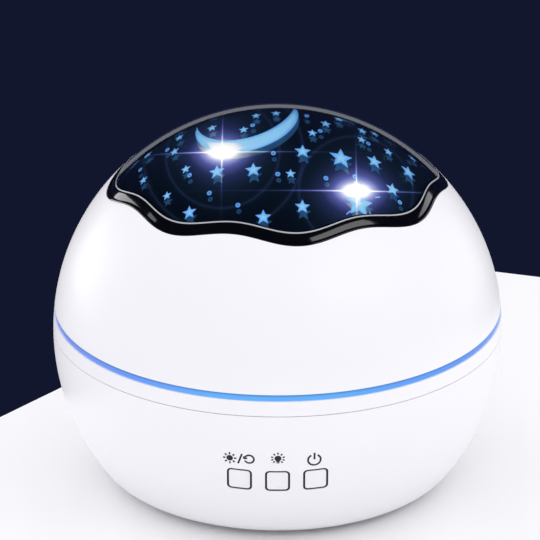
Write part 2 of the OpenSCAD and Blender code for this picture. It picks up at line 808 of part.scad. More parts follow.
module ring_led_board() {
    color("seagreen") ring(ring_board_edge_r, ring_board_r, deck_z, deck_z + ring_board_t);
}

module ring_leds() {
    color("gold") for (k = [0:ring_leds_count - 1])
        rotate([0, 0, 360 * (k + 0.5) / ring_leds_count]) translate([ring_led_r, 0, 0])
            block(ring_led_w, ring_led_w, 0.2, deck_z + ring_board_t, deck_z + ring_board_t + ring_led_h);
}

// ---------- main board ----------

module main_board() {
    color("seagreen") difference() {
        union() {
            difference() {
                disc(main_board_r, main_board_z, main_board_top);
                translate([-main_board_r, -main_board_r, main_board_z - over])
                    cube([2 * main_board_r, main_board_r + board_front_y, board_t + 2 * over]);
            }
            translate([-socket_w / 2 - 2, 0, main_board_z])
                cube([socket_w + 4, socket_y - 0.5, board_t]);
        }
        for (p = board_spots)
            peg(p, small_screw_d / 2 + screw_gap, main_board_z - over, main_board_top + over);
    }
}

// Connectors, controller chip, capacitor and coil
module board_parts() {
    color("ivory") for (p = [lamp_plug, motor_plug, button_plug, ring_plug])
        translate([p.x - plug_size.x / 2, p.y - plug_size.y / 2, main_board_top]) cube(plug_size);
    color("#222222") translate([6, board_front_y + 14, 0])
        block(7, 7, 0.3, main_board_top, main_board_top + 1.2);
    color("#222222") translate([18 - main_board_r, -8, 0])
        block(5, 6, 0.3, main_board_top, main_board_top + 1.6);
    color("#303050") peg([10, main_board_r - 6], 3.2, main_board_top, main_board_top + 7);
    color("#404040") translate([-9, main_board_r - 7, 0])
        block(6, 6, 1, main_board_top, main_board_top + 3);
}

module main_board_screws() {
    color("silver") for (p = board_spots)
        translate([p.x, p.y, main_board_top]) rotate([180, 0, 0])
            screw(small_screw_d, small_head_d, small_head_h, board_t + small_grip);
}

module usb_socket() {
    color("silver") translate([0, socket_y, socket_z]) rotate([90, 0, 0]) difference() {
        block(socket_w, socket_h, socket_h / 2 - 0.01, 0, socket_l);
        block(socket_w - 2 * socket_wall, socket_h - 2 * socket_wall,
              socket_h / 2 - socket_wall - 0.01, -over, socket_l - socket_wall);
    }
}

module socket_tongue() {
    color("#222222") translate([0, socket_y, socket_z]) rotate([90, 0, 0]) {
        block(6.6, 0.7, 0.3, 0.8, socket_l - socket_wall);
        block(socket_w - 2 * socket_wall - 0.1, socket_h - 2 * socket_wall - 0.1,
              socket_h / 2 - socket_wall - 0.1, socket_l - 2, socket_l - socket_wall);
    }
}

// ---------- buttons ----------

module button(k) {
    color("white") at_buttons() translate([k * button_pitch, 0, 0]) {
        intersection() {
            translate([-k * button_pitch, 0, 0]) sphere(r = ball_r, $fn = 180);
            block(button_w, button_h, button_round, pad_z - seat_gap - 0.5, ball_r + over);
        }
        block(2 * half_flange_w, 2 * half_flange_h, button_round,
              pad_z - seat_gap - cap_flange_t, pad_z - seat_gap);
        translate([0, 0, cap_z]) cylinder(r = cap_stem_r, h = cap_stem_h + 0.5, $fn = 32);
    }
}

module mode_button() { button(-1); }
module lamp_button() { button(0); }
module power_button() { button(1); }

module button_board() {
    color("seagreen") at_buttons() difference() {
        block(button_board_w, button_board_h, 1, button_board_z, switch_z);
        for (s = [-1, 1]) translate([s * button_post_x, 0, button_board_z - over])
            cylinder(r = small_screw_d / 2 + screw_gap, h = board_t + 2 * over, $fn = 32);
    }
}

module button_board_screws() {
    color("silver") at_buttons() for (s = [-1, 1]) translate([s * button_post_x, 0, button_board_z])
        screw(small_screw_d, small_head_d, small_head_h, board_t + small_grip - 0.5);
}

module tact_switches() {
    color("#222222") at_buttons() for (k = [-1:1]) translate([k * button_pitch, 0, 0]) {
        block(switch_w, switch_w, 0.4, switch_z, switch_z + switch_h);
        translate([0, 0, switch_z + switch_h - 0.5])
            cylinder(r = plunger_r, h = plunger_h + 0.5, $fn = 32);
    }
}

// ---------- fasteners and feet ----------

module case_screws() {
    color("dimgray") for (p = case_spots) translate([p.x, p.y, case_split_z - case_web])
        screw(screw_d, screw_head_d, screw_head_h, case_web + case_grip - 0.5);
}

module rubber_feet() {
    color("#303030") for (p = foot_spots) peg(p, foot_r, 0, underside_z + foot_recess);
}

// ---------- wires ----------

// A round wire swept along points; the rings are turned to lie square to the line and
// to the direction across
module wire(points, r, across, sides = 8) {
    last = len(points) - 1;
    function heading(k) =
        let (a = points[max(0, k - 1)], b = points[min(last, k + 1)]) (b - a) / norm(b - a);
    function side_of(k) = let (u = cross(heading(k), across)) u / norm(u);
    rings = [for (k = [0:last]) let (u = side_of(k), v = cross(heading(k), u))
        for (s = [0:sides - 1]) points[k] + r * (cos(360 * s / sides) * u + sin(360 * s / sides) * v)];
    walls = [for (k = [0:last - 1], s = [0:sides - 1])
        let (a = k * sides + s, b = a + sides,
             c = (k + 1) * sides + (s + 1) % sides, d = k * sides + (s + 1) % sides)
        each [[a, b, c], [a, c, d]]];
    polyhedron(rings, concat(
        [for (s = [1:sides - 2]) [0, s, s + 1]],
        walls,
        [for (s = [1:sides - 2]) [for (i = [0, s + 1, s]) last * sides + i]]));
}

// Smooth curve from a to b that leaves along da and arrives along db, straight at both ends
function bend(a, da, b, db, steps = 14) =
    let (start = a + 0.08 * da, end = b - 0.08 * db)
    concat([a],
        [for (k = [0:steps]) let (t = k / steps, u = 1 - t)
            u * u * u * start + 3 * u * u * t * (start + da)
            + 3 * u * t * t * (end - db) + t * t * t * end],
        [b]);

module lamp_harness() {
    handle = [0, 0, (lamp_board_z - plug_top) / 3];
    color("gray") wire(bend([lamp_plug.x, lamp_plug.y, plug_top], handle,
                            [0, 0, lamp_board_z], handle), lamp_wire_r, [0, 1, 0]);
}

module button_harness() {
    end = [0, 0, centre_z] + button_board_z * button_normal;
    color("gray") wire(bend([button_plug.x, button_plug.y, plug_top], [0, 0, 12],
                            end, 14 * button_normal), wire_r, [1, 0, 0]);
}

module motor_harness() {
    side = -pinion_distance + motor_d / 2 + seat_gap;
    color("gray") wire(bend([motor_plug.x, motor_plug.y, plug_top], [0, 0, 8],
                            [side, 0, band_z - motor_h / 2], [-8, 0, 0]), wire_r, [5, -7, 0]);
}

module ring_harness() {
    color("gray") wire(bend([ring_plug.x, ring_plug.y, plug_top], [0, 0, 12],
                            [ring_wire_x, 0, deck_z], [0, 0, deck_z - plug_top - 4]),
                       ring_wire_r, [0, 1, 0]);
}

lower_shell();
middle_band();
light_ring();
upper_shell();
bezel();
dome_window();
star_mask();
film_dome();
turntable();
drive_pinion();
motor_shaft();
gear_motor();
motor_screws();
lamp_post();
lamp_post_screws();
lamp_board();
lamp_board_screws();
lamp_leds();
lamp_lenses();
ring_led_board();
ring_leds();
main_board();
board_parts();
main_board_screws();
usb_socket();
socket_tongue();
button_board();
button_board_screws();
tact_switches();
mode_button();
lamp_button();
power_button();
case_screws();
rubber_feet();
lamp_harness();
button_harness();
motor_harness();
ring_harness();
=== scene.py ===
"""Star night light projector: its looks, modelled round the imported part.

Properties are in metres and radians. Small details in the operators are written as
millimetres times MM. Azimuth runs from the front (-Y) towards +X.
"""

import json
import math

import bmesh
import bpy
from mathutils import Euler, Matrix, Vector


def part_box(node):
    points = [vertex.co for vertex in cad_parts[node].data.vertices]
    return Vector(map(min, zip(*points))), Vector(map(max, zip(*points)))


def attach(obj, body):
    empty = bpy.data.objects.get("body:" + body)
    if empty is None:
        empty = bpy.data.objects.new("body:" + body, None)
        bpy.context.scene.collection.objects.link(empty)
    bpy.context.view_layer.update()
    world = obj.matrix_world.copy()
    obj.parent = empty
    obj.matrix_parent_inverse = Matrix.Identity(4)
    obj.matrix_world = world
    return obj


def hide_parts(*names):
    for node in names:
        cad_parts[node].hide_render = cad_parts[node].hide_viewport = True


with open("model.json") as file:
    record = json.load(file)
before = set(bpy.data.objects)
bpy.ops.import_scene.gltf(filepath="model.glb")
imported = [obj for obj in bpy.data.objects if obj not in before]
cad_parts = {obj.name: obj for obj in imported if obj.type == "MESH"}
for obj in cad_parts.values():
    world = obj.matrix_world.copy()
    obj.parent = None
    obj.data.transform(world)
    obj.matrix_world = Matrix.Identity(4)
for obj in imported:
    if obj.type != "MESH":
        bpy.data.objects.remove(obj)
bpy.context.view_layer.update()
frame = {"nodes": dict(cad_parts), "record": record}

bl_info = {
    "name": "Star night light projector",
    "version": (1, 0, 0),
    "blender": (4, 5, 0),
    "location": "3D View > Sidebar > Star light",
    "description": "Models the cover, window, star dome, ring and buttons of a ball-shaped star light",
    "category": "Object",
}

MM = 0.001
COLUMNS_PER_WAVE = 32
LATHE_STEPS = 192
DOME_STEPS = 48


def tidy_length(value):
    """A length read from the frame, without the last digits of its facets."""
    return round(value, 4)


BALL_RADIUS = tidy_length(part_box("lower_shell")[1].x)
CENTRE_HEIGHT = tidy_length(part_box("dome_window")[1].z) - BALL_RADIUS
RING_LOW, RING_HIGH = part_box("light_ring")


class StarLightSizes(bpy.types.PropertyGroup):
    """Sizes of the star light's outside"""

    ball_radius: bpy.props.FloatProperty(
        name="Ball radius", description="Radius of the white ball", default=BALL_RADIUS, unit="LENGTH")
    centre_height: bpy.props.FloatProperty(
        name="Centre height", description="Height of the ball's centre over the table",
        default=CENTRE_HEIGHT, unit="LENGTH")
    opening_radius: bpy.props.FloatProperty(
        name="Opening radius", description="Mean radius of the wavy opening, in its own plane",
        default=48.15 * MM, unit="LENGTH")
    wave_height: bpy.props.FloatProperty(
        name="Wave height", description="Height of each wave of the opening",
        default=1.05 * MM, unit="LENGTH")
    waves: bpy.props.IntProperty(name="Waves", description="Number of waves round the opening", default=8)
    wave_turn: bpy.props.FloatProperty(
        name="Wave turn", description="Turn of the first wave from the side",
        default=math.radians(7.2), unit="ROTATION")
    opening_tilt: bpy.props.FloatProperty(
        name="Opening tilt", description="Backward tilt of the opening",
        default=math.radians(3.1), unit="ROTATION")
    cover_height: bpy.props.FloatProperty(
        name="Cover height", description="Height of the cover's lower edge over the table",
        default=tidy_length(RING_HIGH.z) + 0.05 * MM, unit="LENGTH")
    dome_radius: bpy.props.FloatProperty(
        name="Dome radius", description="Radius of the black star dome", default=60.6 * MM, unit="LENGTH")
    dome_height: bpy.props.FloatProperty(
        name="Dome height", description="Height of the star dome's centre over the table",
        default=tidy_length(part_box("star_mask")[1].z) - 60.6 * MM, unit="LENGTH")
    dome_edge: bpy.props.FloatProperty(
        name="Dome edge", description="Height of the star mask's lower edge",
        default=tidy_length(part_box("star_mask")[0].z), unit="LENGTH")
    print_lean: bpy.props.FloatProperty(
        name="Print lean", description="Angle from level of the line along which the motifs look upright",
        default=math.radians(24), unit="ROTATION")
    second_print: bpy.props.FloatProperty(
        name="Second print", description="Distance of the dim painted reflection below each motif",
        default=1.75 * MM, unit="LENGTH")
    button_width: bpy.props.FloatProperty(
        name="Button width", description="Width of a button's cap", default=5.85 * MM, unit="LENGTH")
    button_height: bpy.props.FloatProperty(
        name="Button height", description="Height of a button's cap", default=6.5 * MM, unit="LENGTH")
    button_pitch: bpy.props.FloatProperty(
        name="Button pitch", description="Distance between two buttons", default=10.6 * MM, unit="LENGTH")
    button_drop: bpy.props.FloatProperty(
        name="Button drop", description="Angle of the buttons below the ball's middle",
        default=math.radians(17.4), unit="ROTATION")


def linear(code):
    """Turn an sRGB hex colour into the linear RGBA that shaders read."""
    parts = [int(code[k:k + 2], 16) / 255 for k in (1, 3, 5)]
    return tuple(p / 12.92 if p <= 0.04045 else ((p + 0.055) / 1.055) ** 2.4 for p in parts) + (1.0,)


def colour_property(name, description, code):
    """A colour that a user can change, given as an sRGB hex code."""
    return bpy.props.FloatVectorProperty(
        name=name, description=description, default=linear(code), size=4, min=0, max=1, subtype="COLOR")


class StarLightColours(bpy.types.PropertyGroup):
    """Colours of the star light"""

    shell: colour_property("Shell", "White of the shells and the cover", "#F4F3F7")
    button: colour_property("Buttons", "White of the push buttons", "#F1F1F5")
    bezel: colour_property("Bezel", "Black of the bezel", "#070709")
    star_dome: colour_property("Star dome", "Black of the printed star dome", "#030508")
    lit_deep: colour_property("Lit blue, deep", "Blue at the points of the lit stars", "#3A86EE")
    lit_pale: colour_property("Lit blue, pale", "Blue in the middle of the lit stars", "#8FD2FF")
    second_print: colour_property("Second print", "Dim blue of the stars' painted reflection", "#2A5784")
    symbol: colour_property("Symbols", "Black of the printed symbols", "#0A0A0D")


def add(holder, kind, inputs=None, **settings):
    """Add a node with its settings; inputs maps a socket to a value or to another node's output."""
    tree = getattr(holder, "node_tree", holder)
    made = tree.nodes.new(kind)
    for key, value in settings.items():
        setattr(made, key, value)
    for socket, value in (inputs or {}).items():
        if isinstance(value, bpy.types.NodeSocket):
            tree.links.new(value, made.inputs[socket])
        else:
            made.inputs[socket].default_value = value
    return made


def new_material(name, base, roughness, **sockets):
    """A material with its surface shader's plain values set; returns it with that shader."""
    material = bpy.data.materials.new(name)
    material.use_nodes = True
    shader = material.node_tree.nodes["Principled BSDF"]
    shader.inputs["Base Color"].default_value = base
    shader.inputs["Roughness"].default_value = roughness
    for socket, value in sockets.items():
        shader.inputs[socket.replace("_", " ")].default_value = value
    return material, shader


def join(material, output, shader, socket):
    """Link an output to one of a shader's sockets."""
    material.node_tree.links.new(output, shader.inputs[socket])


def object_noise(material, size, detail=2.0, where=None):
    """Noise whose grains are about the given size, on Object coordinates."""
    spot = where or add(material, "ShaderNodeTexCoord").outputs["Object"]
    return add(material, "ShaderNodeTexNoise",
               {"Vector": spot, "Scale": 1 / size, "Detail": detail, "Roughness": 0.55}).outputs["Fac"]


def moulded(name, base, roughness, grain, spread=0.08, relief=0.01 * MM, shade=0.03, **sockets):
    """Moulded or coated surface: fine relief of the mould, patchy gloss and a slight drift of shade."""
    material, shader = new_material(name, base, roughness, **sockets)
    patches = object_noise(material, 14 * MM, 3.0)
    gloss = add(material, "ShaderNodeMapRange",
                {"Value": patches, "To Min": roughness - spread, "To Max": roughness + spread})
    join(material, gloss.outputs["Result"], shader, "Roughness")
    darker = tuple(c * (1 - shade) for c in base[:3]) + (1.0,)
    drift = add(material, "ShaderNodeMix", {0: patches, 6: base, 7: darker}, data_type="RGBA")
    join(material, drift.outputs[2], shader, "Base Color")
    bump = add(material, "ShaderNodeBump",
               {"Height": object_noise(material, grain), "Distance": relief, "Strength": 0.6})
    join(material, bump.outputs["Normal"], shader, "Normal")
    return material


# ---------- modelling steps shared by the pieces ----------

def clear_selection():
    """Leave edit mode and deselect every object."""
    if bpy.context.object and bpy.context.object.mode != "OBJECT":
        bpy.ops.object.mode_set(mode="OBJECT")
    bpy.ops.object.select_all(action="DESELECT")


def begin(name):
    """Name the piece that was just added and open it for editing by points."""
    piece = bpy.context.object
    piece.name = name
    piece.data.name = name
    bpy.ops.object.mode_set(mode="EDIT")
    bpy.ops.mesh.select_mode(type="VERT")
    return piece


def edited_mesh(piece):
    """The mesh being edited, with its points and faces numbered afresh."""
    mesh = bmesh.from_edit_mesh(piece.data)
    mesh.verts.index_update()
    mesh.faces.index_update()
    return mesh


def pick(piece, kind, test):
    """Select only the points, edges or faces that pass a test; returns how many."""
    bpy.ops.mesh.select_mode(type={"verts": "VERT", "edges": "EDGE", "faces": "FACE"}[kind])
    bpy.ops.mesh.select_all(action="DESELECT")
    mesh = edited_mesh(piece)
    found = [item for item in getattr(mesh, kind) if test(item)]
    for item in found:
        item.select = True
    mesh.select_flush_mode()
    bmesh.update_edit_mesh(piece.data)
    return len(found)


def pick_points(piece, indices):
    """Select only the points with the given numbers."""
    chosen = set(indices)
    return pick(piece, "verts", lambda v: v.index in chosen)


def picked_points(piece):
    """Numbers of the points that are selected."""
    return [v.index for v in edited_mesh(piece).verts if v.select]


def close_up(piece):
    """Merge doubled points and turn every face outwards."""
    bpy.ops.mesh.select_all(action="SELECT")
    bpy.ops.mesh.remove_doubles(threshold=0.001 * MM)
    bpy.ops.mesh.normals_make_consistent(inside=False)


def apply_modifier(piece, kind, **settings):
    """Add a modifier with its settings and apply it."""
    if piece.mode != "OBJECT":
        bpy.ops.object.mode_set(mode="OBJECT")
    bpy.context.view_layer.objects.active = piece
    modifier = piece.modifiers.new(kind.title(), kind)
    for key, value in settings.items():
        setattr(modifier, key, value)
    bpy.ops.object.modifier_apply(modifier=modifier.name)


def settle(piece):
    """Bring a piece's place, turn and scale into its mesh."""
    clear_selection()
    piece.select_set(True)
    bpy.context.view_layer.objects.active = piece
    bpy.ops.object.transform_apply(location=True, rotation=True, scale=True)
    piece.rotation_mode = "XYZ"


def finish_piece(piece, material, smooth_to=35):
    """Settle a piece, smooth its shading up to an angle and give it its material."""
    settle(piece)
    bpy.ops.object.shade_smooth_by_angle(angle=math.radians(smooth_to))
    if material:
        piece.data.materials.clear()
        piece.data.materials.append(material)
    return piece


def join_pieces(pieces):
    """Join pieces into the first one."""
    clear_selection()
    for piece in pieces:
        piece.select_set(True)
    bpy.context.view_layer.objects.active = pieces[0]
    bpy.ops.object.join()
    return pieces[0]


def turned(name, outline, steps=LATHE_STEPS, closed=True):
    """Spin an outline of (radius, height) points round the upright axis."""
    clear_selection()
    bpy.ops.mesh.primitive_plane_add(size=MM)
    piece = begin(name)
    bpy.ops.mesh.select_all(action="SELECT")
    bpy.ops.mesh.merge(type="CENTER")
    here = outline[0]
    bpy.ops.transform.translate(value=(here[0], 0, here[1]))
    for point in outline[1:]:
        bpy.ops.mesh.extrude_vertices_move(
            TRANSFORM_OT_translate={"value": (point[0] - here[0], 0, point[1] - here[1])})
        here = point
    if closed:
        count = len(outline)
        pick_points(piece, (0, count - 1))
        bpy.ops.mesh.edge_face_add()
    bpy.ops.mesh.select_all(action="SELECT")
    bpy.ops.mesh.spin(steps=steps, angle=math.tau, use_auto_merge=True, center=(0, 0, 0), axis=(0, 0, 1))
    close_up(piece)
    bpy.ops.object.mode_set(mode="OBJECT")
    return piece


def arc(centre, radius, start, end, steps):
    """Points of an arc in the outline's plane, with angles in degrees from level."""
    return [(centre[0] + radius * math.cos(math.radians(a)), centre[1] + radius * math.sin(math.radians(a)))
            for a in (start + (end - start) * k / steps for k in range(steps + 1))]


def dome_outline(middle, outer, inner, low_outer, low_inner):
    """Outline of a thin dome, from its edge over the top and back, that meets the axis."""
    outline = arc((0, middle), outer, low_outer, 90, DOME_STEPS)
    outline += arc((0, middle), inner, 90, low_inner, DOME_STEPS)
    outline[DOME_STEPS] = (0, middle + outer)
    outline[DOME_STEPS + 1] = (0, middle + inner)
    return outline


def wavy_rings(name, sizes, profile):
    """Rings of points along the wavy opening, one for each (inset, depth) in mm of the profile.

    Inset is measured inwards from the opening's line and depth inwards from the ball's surface.
    The piece is left open for editing, tilted like the opening, with its origin at the ball's centre.
    """
    clear_selection()
    columns = sizes.waves * COLUMNS_PER_WAVE
    bpy.ops.mesh.primitive_circle_add(
        vertices=columns, radius=sizes.opening_radius, location=(0, 0, sizes.centre_height))
    piece = begin(name)
    bpy.ops.mesh.select_all(action="SELECT")
    centre = Vector((0, 0, sizes.centre_height))
    place = {}
    rings = []
    for inset, depth in profile:
        if rings:
            pick_points(piece, rings[-1])
            bpy.ops.mesh.extrude_region_move()
        ring = picked_points(piece)
        rings.append(ring)
        mesh = bmesh.from_edit_mesh(piece.data)
        mesh.verts.ensure_lookup_table()
        groups = {}
        for index in ring:
            point = mesh.verts[index].co
            column = round(math.atan2(point.y, point.x) / math.tau * columns) % COLUMNS_PER_WAVE
            groups.setdefault(min(column, COLUMNS_PER_WAVE - column), []).append(index)
        for column, members in groups.items():
            crest = math.cos(math.tau * column / COLUMNS_PER_WAVE)
            radius = sizes.opening_radius - inset * MM + sizes.wave_height * crest
            height = math.sqrt((sizes.ball_radius - depth * MM) ** 2 - radius ** 2)
            old_radius, old_height = place.get(column, (sizes.opening_radius, 0))
            pick_points(piece, members)
            factor = radius / old_radius
            bpy.ops.transform.resize(value=(factor, factor, 1), center_override=centre)
            bpy.ops.transform.translate(value=(0, 0, height - old_height))
            place[column] = (radius, height)
    bpy.ops.object.mode_set(mode="OBJECT")
    piece.rotation_mode = "ZYX"
    piece.rotation_euler = (-sizes.opening_tilt, 0, sizes.wave_turn)
    bpy.ops.object.transform_apply(location=False, rotation=True, scale=False)
    bpy.ops.object.mode_set(mode="EDIT")
    return piece, rings


def level_ring(piece, sizes, radius, height):
    """Add a level ring of points with as many columns as the wavy rings."""
    bpy.ops.mesh.select_all(action="DESELECT")
    bpy.ops.mesh.primitive_circle_add(
        vertices=sizes.waves * COLUMNS_PER_WAVE, radius=radius, location=(0, 0, height),
        rotation=(0, 0, sizes.wave_turn))
    return picked_points(piece)


def next_ring(piece, ring, old_radius, radius, rise):
    """Extrude a level ring to a new radius and height."""
    pick_points(piece, ring)
    bpy.ops.mesh.extrude_region_move()
    factor = radius / old_radius
    bpy.ops.transform.resize(value=(factor, factor, 1))
    bpy.ops.transform.translate(value=(0, 0, rise))
    return picked_points(piece)


def bridge(piece, first, second, cuts=0):
    """Bridge two rings; returns the points that the cuts add between them."""
    before = len(bmesh.from_edit_mesh(piece.data).verts)
    pick_points(piece, list(first) + list(second))
    bpy.ops.mesh.bridge_edge_loops(number_cuts=cuts, interpolation="LINEAR")
    return range(before, len(bmesh.from_edit_mesh(piece.data).verts))


def swell(piece, points, radius):
    """Lay some points on a sphere round the piece's origin."""
    bpy.ops.object.mode_set(mode="OBJECT")
    group = piece.vertex_groups.new(name="on the ball")
    group.add(list(points), 1.0, "REPLACE")
    apply_modifier(piece, "CAST", cast_type="SPHERE", factor=1.0, use_radius_as_size=False, size=radius,
                   vertex_group=group.name)
    piece.vertex_groups.clear()


def turn_picked(angle, axis, centre=(0, 0, 0)):
    """Turn what is selected about an axis through a point, anticlockwise seen from the axis' tip."""
    bpy.ops.transform.rotate(value=-angle, orient_axis=axis, center_override=centre)


def section(radius, rise):
    """Radius of a ball's level section at a height over its centre."""
    return math.sqrt(radius ** 2 - rise ** 2)


class STARLIGHT_OT_cover(bpy.types.Operator):
    """Model the white cover with its wavy opening, ledge, flange and skirt"""

    bl_idname = "starlight.cover"
    bl_label = "White cover"

    def execute(self, context):
        sizes = context.scene.star_light_sizes
        ball = sizes.ball_radius
        centre = sizes.centre_height
        piece, rings = wavy_rings("white_cover", sizes, [(0, 0), (0, 1.1), (1.4, 1.1), (1.4, 2.0)])
        inside = ball - 2 * MM
        flange_top = sizes.cover_height + 1.6 * MM
        flange_bore, skirt_radius = 57.76 * MM, 59.21 * MM
        skirt_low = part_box("upper_shell")[0].z
        radius = section(inside, flange_top - centre)
        ring = level_ring(piece, sizes, radius, flange_top)
        inner = bridge(piece, rings[-1], ring, 14)
        for next_radius, rise in ((flange_bore, 0), (flange_bore, skirt_low - flange_top),
                                  (skirt_radius, 0), (skirt_radius, sizes.cover_height - skirt_low),
                                  (section(ball, sizes.cover_height - centre), 0)):
            ring = next_ring(piece, ring, radius, next_radius, rise)
            radius = next_radius
        outer = bridge(piece, rings[0], ring, 40)
        swell(piece, outer, ball)
        swell(piece, inner, inside)
        bpy.ops.object.mode_set(mode="EDIT")
        close_up(piece)
        apply_modifier(piece, "BEVEL", width=0.18 * MM, segments=2, limit_method="ANGLE",
                       angle_limit=math.radians(40))
        finish_piece(piece, bpy.data.materials["ABS, white, satin moulded"])
        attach(piece, "cover")
        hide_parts("upper_shell")
        return {"FINISHED"}


class STARLIGHT_OT_bezel(bpy.types.Operator):
    """Model the glossy black bezel with its two facets and rounded inner edge"""

    bl_idname = "starlight.bezel"
    bl_label = "Black bezel"

    def execute(self, context):
        sizes = context.scene.star_light_sizes
        # From the outer wall over the narrow facet, the crease and the wide facet to the
        # rounded inner edge, then down to the window's seat and back under the ledge
        profile = [(0.12, 1.0), (0.12, 0.30), (0.16, 0.16), (0.26, 0.08), (0.40, 0.10), (0.86, 0.40),
                   (0.94, 0.47), (1.02, 0.48), (1.10, 0.44), (1.50, 0.24), (2.10, 0.02), (2.36, 0.0),
                   (2.52, 0.06), (2.62, 0.18), (2.65, 0.34), (2.65, 1.0), (3.95, 1.0), (3.95, 2.0),
                   (1.5, 2.0), (1.5, 1.0)]
        piece, rings = wavy_rings("black_bezel", sizes, profile)
        bridge(piece, rings[0], rings[-1])
        close_up(piece)
        finish_piece(piece, bpy.data.materials["ABS, black, piano gloss"], 40)
        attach(piece, "cover")
        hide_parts("bezel")
        return {"FINISHED"}


class STARLIGHT_OT_window(bpy.types.Operator):
    """Model the clear window, a thin dome with a wavy edge"""

    bl_idname = "starlight.window"
    bl_label = "Clear window"

    def execute(self, context):
        sizes = context.scene.star_light_sizes
        depth = 0.15
        surface = sizes.ball_radius - depth * MM
        piece, rings = wavy_rings("clear_window_dome", sizes, [(2.88, depth)])
        top_radius = 1.5 * MM
        top = level_ring(piece, sizes, top_radius, sizes.centre_height + section(surface, top_radius))
        bridge(piece, rings[0], top, 30)
        pick_points(piece, top)
        bpy.ops.mesh.extrude_region_move()
        bpy.ops.mesh.merge(type="CENTER")
        apply_modifier(piece, "CAST", cast_type="SPHERE", factor=1.0, use_radius_as_size=False, size=surface)
        bpy.ops.object.mode_set(mode="EDIT")
        close_up(piece)
        apply_modifier(piece, "SOLIDIFY", thickness=0.85 * MM, offset=-1, use_even_offset=True)
        finish_piece(piece, bpy.data.materials["Polycarbonate, clear, polished"], 50)
        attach(piece, "cover")
        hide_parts("dome_window")
        # The turned-up edge between the window and the bezel
        edge, rings = wavy_rings("window_edge", sizes, [
            (2.67, 0.6), (2.67, 0.12), (2.70, 0.05), (2.76, 0.02), (2.82, 0.04), (2.87, 0.12), (2.87, 0.6)])
        bridge(edge, rings[0], rings[-1])
        close_up(edge)
        finish_piece(edge, bpy.data.materials["Polycarbonate, cut edge"], 60)
        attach(edge, "cover")
        return {"FINISHED"}


class STARLIGHT_OT_light_ring(bpy.types.Operator):
    """Model the frosted light ring with its softened edges"""

    bl_idname = "starlight.light_ring"
    bl_label = "Light ring"

    def execute(self, context):
        sizes = context.scene.star_light_sizes
        low, high = tidy_length(RING_LOW.z), tidy_length(RING_HIGH.z)
        radius = sizes.ball_radius - 0.4 * MM
        bore = 59.41 * MM
        edge = 0.15 * MM
        steps = 6
        face = []
        for k in range(steps + 1):
            height = low + edge + (high - low - 2 * edge) * k / steps
            face.append((section(radius, height - sizes.centre_height), height))
        outline = [(bore, low), (face[0][0] - edge, low), *face, (face[-1][0] - edge, high), (bore, high)]
        piece = turned("lit_ring", outline, 256)
        finish_piece(piece, bpy.data.materials["Acrylic, frosted, lit blue"], 30)
        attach(piece, "root")
        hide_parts("light_ring")
        return {"FINISHED"}


class STARLIGHT_OT_star_dome(bpy.types.Operator):
    """Model the black printed dome that turns under the window"""

    bl_idname = "starlight.star_dome"
    bl_label = "Black star dome"

    def execute(self, context):
        sizes = context.scene.star_light_sizes
        outer = sizes.dome_radius
        inner = outer - 0.7 * MM
        rise = sizes.dome_edge - sizes.dome_height
        low_out = math.degrees(math.asin(rise / outer))
        low_in = math.degrees(math.asin(rise / inner))
        piece = turned("star_print_dome", dome_outline(sizes.dome_height, outer, inner, low_out, low_in))
        finish_piece(piece, bpy.data.materials["Film, black print, glossy"])
        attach(piece, "star_turntable")
        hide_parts("star_mask")
        return {"FINISHED"}


# Motifs on the dome: azimuth from the front towards +X, angle from the top, radius in mm
BIG_STARS = [(48, 23, 3.5), (37, 38, 4.4), (140, 30, 3.6), (-150, 38, 3.6), (-125, 54, 3.2)]
MID_STARS = [(-38, 27, 2.3), (-16, 24, 2.4), (-38, 41, 2.2), (-6, 39, 2.3), (23, 17, 2.4),
             (11, 36, 2.2), (67, 29, 2.4), (80, 38, 2.6), (59, 38, 2.2), (124, 40, 2.4),
             (165, 42, 2.2), (-170, 28, 2.4), (-128, 36, 2.2)]
SMALL_STARS = [(-97, 18, 1.5), (-66, 10, 1.4), (-133, 8, 1.4), (-176, 7, 1.4), (-76, 40, 1.5),
               (-103, 39, 1.5), (-101, 28, 1.4), (-82, 29, 1.5), (-58, 30, 1.5), (8, 25, 1.5),
               (-54, 39, 1.5), (98, 13, 1.6), (123, 20, 1.5), (57, 11, 1.5), (104, 24, 1.5),
               (110, 29, 1.4), (85, 23, 1.4), (87, 31, 1.5), (104, 41, 1.5), (-140, 28, 1.5),
               (180, 36, 1.5)]
DOTS = [(-74, 7), (-90, 31), (-88, 40), (-52, 31), (-4, 17), (0, 25), (-34, 34), (-18, 36),
        (71, 12), (129, 10), (84, 25), (28, 28), (45, 30), (57, 42), (135, 47), (-160, 46),
        (-140, 46), (-116, 46)]
# Ovals that make the moon, seen along the slanted line: middle across and up, half width,
# half height in mm, and turn in degrees
MOON = (-8.73, 54.86, 14.9, 8.3, 15.2)
MOON_HOLLOW = (-9.13, 58.26, 14.4, 7.8, 18)
# Where the painted glow of the two lamps sits, seen along the same line, in mm
LAMP_SPOTS = ((-15.58, 46.21), (21.86, 35.14))
STAR_WAIST = 0.47
DOT_RADIUS = 0.7 * MM
DOT_OPENING = 0.3
# The short rays round the biggest star: across and up from it in mm, and turn in degrees
RAYS = ((0.7, 6.2, 0), (5.5, 2.2, -62), (-2.9, -2.4, -38), (3.3, -2.8, 25))
# Lift of the lit motifs and of their painted reflection over the dome, their thickness, and how far
# the painted reflection lies to the right for each millimetre that it lies lower
LIT_LIFT, DIM_LIFT = 0.06 * MM, 0.02 * MM
PRINT_THICKNESS = 0.1 * MM
REFLECTION_DRIFT = 0.15


def slant(sizes):
    """Turn about X that brings level things to face along the slanted line."""
    return math.pi / 2 - sizes.print_lean


def slanted(sizes, across, rise, depth=0.0):
    """A place seen along the slanted line from the front, from the dome's centre, in mm."""
    place = Vector((across, rise, depth)) * MM
    place.rotate(Euler((slant(sizes), 0, 0)))
    return place


